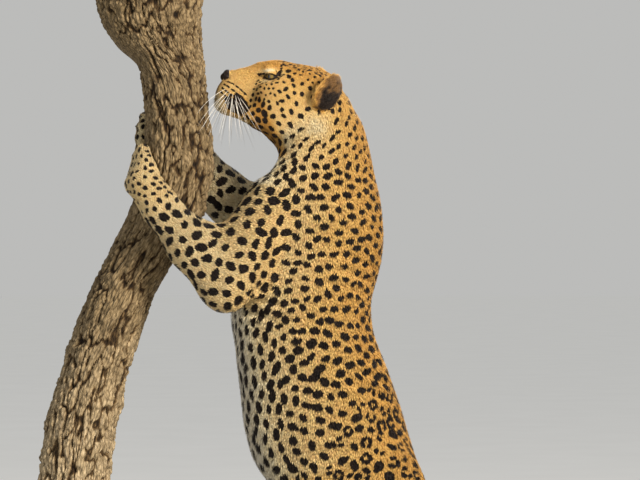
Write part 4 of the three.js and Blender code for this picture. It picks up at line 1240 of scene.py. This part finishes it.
def make_nose():
    turn = np.stack((BACKWARD, ACROSS, UPWARD))
    lobes = []
    for (back, up, out), size, sign in (
        (NOSE_LOBE, LOBE_SIZE, 1), (NOSE_WING, WING_SIZE, -1), (NOSE_WING, WING_SIZE, 1),
    ):
        only()
        bpy.ops.mesh.primitive_uv_sphere_add(segments=32, ring_count=20, radius=1)
        lobe = bpy.context.active_object
        put_points(lobe, (points_of(lobe) * size) @ turn + from_head(back, up, sign * out))
        lobes.append(lobe)
    nose = joined([merged_copy("nose", "nose_pad", 0.9 * MM)] + lobes, "nose_pad")
    apply_modifier(nose, "REMESH", mode="VOXEL", voxel_size=1.0 * MM, adaptivity=0.0)
    co = Net(nose).spread(points_of(nose), 25, 0.5)
    put_points(nose, co)
    normal = normals_of(nose)
    back, up, out = in_head(co).T
    out = np.abs(out)
    # comma-shaped nostrils open sideways, with a groove down the middle
    hole = hump(back, 0.006, 0.0060) * hump(up, -0.0005, 0.0042) * hump(out, 0.0135, 0.0050)
    slit = hump(back, 0.015, 0.0085) * hump(up, -0.0035, 0.0026) * hump(out, 0.0195, 0.006)
    middle_line = hump(out, 0, 0.0011) * smooth_step(0.006, -0.003, up)
    sink = 0.0060 * hole + 0.0035 * slit + 0.0011 * middle_line
    sink = sink + 0.0040 * (1 - leather_share(co))
    # its top is drawn down to run on from the bridge
    sink = sink + 0.0022 * smooth_step(0.3, 0.9, normal[:, 2]) * smooth_step(0.004, 0.012, back)
    put_points(nose, co - normal * sink[:, None])
    smooth_shaded(nose)
    return settle(nose, ("nose",), nose_material())


make_nose()


# ---- claws ----
# keratin: dark horn with paler streaks, polished by use
HORN = streaked("polished_keratin_horn", (2.0,), [(0.3, "#2b1f17"), (0.75, "#7c6750")], Roughness=0.3)[0]
for name in CLAWS:
    claw = merged_copy(name, "smooth_" + name)
    apply_modifier(claw, "SUBSURF", levels=2, render_levels=2)
    smooth_shaded(claw)
    settle(claw, (name,), HORN)


# ---- whiskers ----
# stiff white hair with duller lengths
STIFF_HAIR = streaked(
    "stiff_white_whisker", (12.0,), [(0.3, "#d9d2c4"), (0.7, "#fbf8f2")], Roughness=0.4
)[0]


def hair_tube(verts, faces, path, radius):
    """A tapered three-sided hair along a path."""
    path = np.asarray(path)
    start = len(verts)
    way = unit(np.gradient(path, axis=0))
    side = unit(np.cross(way, np.array((0.3, 0.2, 1.0))))
    up = np.cross(side, way)
    last = len(path) - 1
    for k in range(last):
        r = radius * (1 - k / last) ** 0.7
        for q in range(3):
            angle = q * 2 * math.pi / 3
            verts.append(path[k] + r * (math.cos(angle) * side[k] + math.sin(angle) * up[k]))
    verts.append(path[last])
    for k in range(last - 1):
        for q in range(3):
            a, b = start + 3 * k + q, start + 3 * k + (q + 1) % 3
            faces.append((a, b, b + 3, a + 3))
    end = start + 3 * (last - 1)
    for q in range(3):
        faces.append((end + q, end + (q + 1) % 3, start + 3 * last))
    faces.append((start + 2, start + 1, start))


def drooping(at, out, bend, long, steps, sag):
    """A path that leaves in one direction and bends towards another."""
    t = np.linspace(0, 1, steps)[:, None]
    return at + long * (out * t + (bend - out) * sag * t**2)


WHISKERS = 20
WHISKER_RADIUS, BROW_HAIR_RADIUS = 0.0006, 0.0003


def make_whiskers():
    verts, faces = [], []
    tree = surface_of(skin)
    for sign in (-1, 1):
        for k in range(WHISKERS):
            # the front ones sweep forward and down, the hind ones down and back
            share = (k + RANDOM.uniform(-0.3, 0.3)) / (WHISKERS - 1)
            back, up = 0.020 + 0.034 * share, -0.024 - 0.009 * (k % 3) - 0.008 * share
            at, n, _, _ = tree.find_nearest(Vector(from_head(back, up, sign * 0.040)))
            at = np.array(at) - np.array(n) * 0.001
            swing = math.radians(-52 + 92 * share)
            down = np.array((math.sin(swing), 0.0, -math.cos(swing)))
            out = unit(0.55 * np.array(n) + 0.75 * down + sign * 0.25 * ACROSS)
            bend = unit(down + np.array((0.05, 0.0, -0.55)))
            path = drooping(at, out, bend, RANDOM.uniform(0.080, 0.132), 9, 0.45)
            hair_tube(verts, faces, path, WHISKER_RADIUS)
        for k in range(2):
            at, n, _, _ = tree.find_nearest(Vector(from_head(0.094 + 0.008 * k, 0.050, sign * 0.040)))
            out = unit(np.array(n) + BACKWARD * 0.8)
            path = drooping(np.array(at), out, BACKWARD, 0.030, 7, 0.5)
            hair_tube(verts, faces, path, BROW_HAIR_RADIUS)
    mesh = bpy.data.meshes.new("whiskers")
    mesh.from_pydata([tuple(v) for v in verts], [], faces)
    mesh.update()
    obj = placed("whiskers", mesh)
    only(obj)
    edit_mode(True)
    bpy.ops.mesh.select_all(action="SELECT")
    bpy.ops.mesh.normals_make_consistent(inside=False)
    edit_mode(False)
    bpy.ops.object.shade_smooth()
    return settle(obj, (), STIFF_HAIR)


make_whiskers()


# ---- the perch ----
BARK_VOXEL = 3.3 * MM
KNOT = (-0.172, 1.533)  # x and z of a lost branch's knot on the near side


def cells(points, seed):
    """Distances to the nearest and second nearest of scattered points, one in each unit cube."""
    low = np.floor(points).astype(np.int64)
    first, second = np.full(len(points), 9.0), np.full(len(points), 9.0)
    for step in np.ndindex(3, 3, 3):
        at = low + step - 1
        code = cube_code(at, seed)
        offsets = []
        for _ in range(3):
            code = ((code ^ (code >> 13)) * 1274126177) & 0x7FFFFFFF
            offsets.append((code & 0xFFFF) / 65535)
        far = np.linalg.norm(at + np.stack(offsets, 1) - points, axis=1)
        second = np.minimum(second, np.maximum(first, far))
        first = np.minimum(first, far)
    return first, second


def bark_material():
    """Old fissured bark: dry grey-brown plates, paler low on the trunk than high up and near black in the
    cracks.
    """
    material, tree, shader, _ = new_material("dry_fissured_bark", Roughness=0.88, Specular_IOR_Level=0.25)
    straight, fissure = attribute(tree, "straight", "Vector"), attribute(tree, "fissure")

    def cracks(per_mm, stretch):
        mapping = add_node(tree, "Mapping", {"Vector": straight}, {"Scale": (1, 1, stretch)})
        node = add_node(
            tree, "TexVoronoi", {"Vector": mapping.outputs[0]}, {"Scale": 1000 / per_mm},
            feature="DISTANCE_TO_EDGE",
        )
        return node.outputs["Distance"]

    broad = noise(tree, straight, 60.0, 3.0, (1, 1, 0.4))
    fine = noise(tree, straight, 4.0, 8.0, (1, 1, 0.30))
    plates = ramp(tree, fine, [(0.28, "#776c5b"), (0.44, "#a79980"), (0.56, "#c3b49b"), (0.72, "#dccfb9")])
    tint = ramp(tree, broad, [(0.35, "#c9bea8"), (0.65, "#fbf4e6")])
    plates = mix(tree, 0.55, plates, tint, "MULTIPLY")
    height_ = add_node(tree, "SeparateXYZ", {"Vector": straight}).outputs["Z"]
    # the lower trunk is paler than the upper
    plates = mix(tree, 1.0, plates, ramp(tree, height_, [(0.62, "#fffaf0"), (1.05, "#c3b9a6")]), "MULTIPLY")
    crack = ramp(tree, fissure, [(0.0, "#43372b"), (0.28, "#a2937c"), (0.55, "#ffffff")])
    colour = mix(tree, 1.0, plates, crack, "MULTIPLY")
    lines = ramp(tree, cracks(6.5, 0.30), [(0.0, "#5c4c3c"), (0.16, "#ffffff")])
    tree.links.new(mix(tree, 0.6, colour, lines, "MULTIPLY"), shader.inputs["Base Color"])
    edge = ramp(tree, cracks(9.0, 0.22), [(0.0, 0.0), (0.22, 1.0)])
    bumped(tree, shader, mix(tree, 0.4, edge, fine), 0.9, 0.004)
    return material


def make_bark():
    bark = merged_copy("perch_trunk", "bark_of_perch")
    apply_modifier(bark, "REMESH", mode="VOXEL", voxel_size=BARK_VOXEL, adaptivity=0.0)
    z = points_of(bark)[:, 2]
    low, high = z.min(), z.max()
    flat = (z > high - 2 * MM) | (z < low + 2 * MM)
    share = np.full((len(z), 3), 0.6)
    share[flat, 2] = 0
    co, normal = relaxed(bark, Net(bark), share, 90, 40, flat)
    # straightened places: offsets from the trunk's own curve, and the height along it
    heights = np.arange(low, high, 0.03)
    curve = [co[np.abs(co[:, 2] - h) < 0.03, 0].mean() for h in heights]
    bend = np.interp(co[:, 2], heights, curve)
    straight = np.stack((co[:, 0] - bend, co[:, 1], co[:, 2] * 1.06), 1)
    warped = straight + np.stack([lattice(straight, 0.03, k) for k in (21, 22, 23)], 1) * 0.006

    def furrows(width, length, seed, sharp):
        """Long wandering furrows, where a stretched noise passes through nothing."""
        size = np.array((width, width, length))
        value = lattice(warped / size, 1.0, seed) + 0.35 * lattice(warped / (size / 2), 1.0, seed + 1)
        return smooth_step(0.0, sharp, np.abs(value))

    deep = furrows(0.013, 0.052, 31, 0.30)
    shallow = furrows(0.0075, 0.024, 35, 0.34)
    first, second = cells(warped / (0.011, 0.011, 0.026), 43)
    chips = smooth_step(0.0, 0.22, second - first)
    # the knot of a lost branch, a ring with a sunk middle
    seen = np.where(co[:, 1] < 0, np.hypot(co[:, 0] - KNOT[0], co[:, 2] - KNOT[1]), 9.0)
    off = np.linalg.norm(co - co[seen.argmin()], axis=1)
    knot = hump(off, 0.017, 0.0055) * 0.006 - hump(off, 0, 0.010) * 0.006
    side_wall = smooth_step(0.7, 0.3, np.abs(normal[:, 2]))
    inward = 0.0062 * (1 - deep) + 0.0030 * (1 - shallow) + 0.0018 * (1 - chips)
    inward = inward + 0.0022 * lattice(co, 0.0075, 9) + 0.0030 * lattice(straight, 0.040, 10)
    inward = (inward - 0.0040) * side_wall
    co = co - normal * (inward * (1 - hump(off, 0, 0.024)) - knot)[:, None]
    put_points(bark, co)
    shade = np.where(side_wall > 0.5, deep * (0.45 + 0.35 * shallow + 0.20 * chips), 0.8)
    ring = np.clip(0.9 - 1.3 * hump(off, 0, 0.009) - 0.5 * hump(off, 0.024, 0.003), 0, 1)
    shade = np.where(off < 0.028, ring, shade)
    write_values(bark, "straight", "FLOAT_VECTOR", "vector", straight)
    write_values(bark, "fissure", "FLOAT", "value", shade)
    smooth_shaded(bark)
    return settle(bark, ("perch_trunk",), bark_material())


make_bark()


# ---- the stand ----
def board_material():
    """Stained hardwood board under satin lacquer: nearly black, with the grain just showing."""
    return streaked(
        "black_stained_board_satin_lacquer", (7.0, 5.0, (0.05, 1, 1)), [(0.3, "#1c1916"), (0.7, "#2e2924")],
        (0.15, 0.0005), Roughness=0.42,
    )[0]


def steel_material():
    """Brushed steel rod: fine turned lines round it, soft long highlights."""
    material, tree, shader, lines = streaked(
        "brushed_steel_rod", (2.0, 4.0, (0.05, 0.05, 1)), [(0.3, "#8b8c8e"), (0.7, "#b3b4b5")], Metallic=1.0
    )
    tree.links.new(ramp(tree, lines, [(0.3, 0.26), (0.7, 0.40)]), shader.inputs["Roughness"])
    return material


def dress_node(name, material):
    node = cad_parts[name]
    node.data.materials.clear()
    node.data.materials.append(material)


dress_node("stand_base", board_material())
STEEL = steel_material()
for name in ("stand_rod_1", "stand_rod_2"):
    dress_node(name, STEEL)


# ---- studio ----
FLOOR_HALF, FLOOR_HEIGHT = 60.0, -0.0005
VIEW_CENTRE = Vector((0.126, 0.0, 1.065))
VIEW_WIDTH = 1.344
VIEW_DISTANCE = 7.5
SENSOR = 36.0


LIGHTS = (
    ("key", (4.0, -4.4, 3.3), 1.5, 655, "#fff5e6"),
    ("fill", (-4.2, -4.0, 1.6), 3.0, 22, "#eef2ff"),
    ("rim", (2.6, 3.6, 3.4), 2.2, 120, "#fffaf2"),
)


def studio():
    only()
    bpy.ops.mesh.primitive_plane_add(size=2 * FLOOR_HALF, location=(0, 0, FLOOR_HEIGHT))
    floor = bpy.context.active_object
    floor.name = "studio_floor"
    # painted light: a trace of glow, so that the far floor is as light as the backdrop
    material, tree, shader, coords = new_material(
        "pale_studio_floor", Roughness=0.9, Specular_IOR_Level=0.0,
        Emission_Color=srgb("#ffffff"), Emission_Strength=0.026,
    )
    # painted shade: the floor is less pale close to the model, where the key light falls, than far behind it
    away = add_node(tree, "VectorMath", {"Vector": coords}, operation="LENGTH").outputs["Value"]
    far = add_node(tree, "MapRange", {"Value": away}, {"From Min": 4.5, "From Max": 8.0})
    cloudy = ramp(tree, noise(tree, coords, 400.0), [(0.3, "#f7f7f6"), (0.7, "#fafaf9")])
    near = mix(tree, 1.0, cloudy, srgb("#c9c9c6"), "MULTIPLY")
    tree.links.new(mix(tree, far.outputs["Result"], near, cloudy), shader.inputs["Base Color"])
    floor.data.materials.append(material)
    world = bpy.data.worlds.new("pale_studio")
    bpy.context.scene.world = world
    world.use_nodes = True
    background = world.node_tree.nodes["Background"]
    background.inputs["Color"].default_value = srgb("#e2e2e0")
    background.inputs["Strength"].default_value = 0.66
    for name, place, size, power, colour in LIGHTS:
        data = bpy.data.lights.new(name, "AREA")
        data.size, data.energy, data.color = size, power, srgb(colour)[:3]
        light = placed(name, data)
        light.location = place
        way = Vector((0.0, 0.0, 1.0)) - Vector(place)
        light.rotation_euler = way.to_track_quat("-Z", "Y").to_euler()
    data = bpy.data.cameras.new("camera")
    data.sensor_width = SENSOR
    data.lens = SENSOR * VIEW_DISTANCE / VIEW_WIDTH
    camera = placed("camera", data)
    camera.location = VIEW_CENTRE + Vector((0, -VIEW_DISTANCE, 0))
    camera.rotation_euler = (math.radians(90), 0, 0)
    data.clip_end = 200
    bpy.context.scene.camera = camera
    bpy.context.scene.view_settings.view_transform = "Standard"


studio()
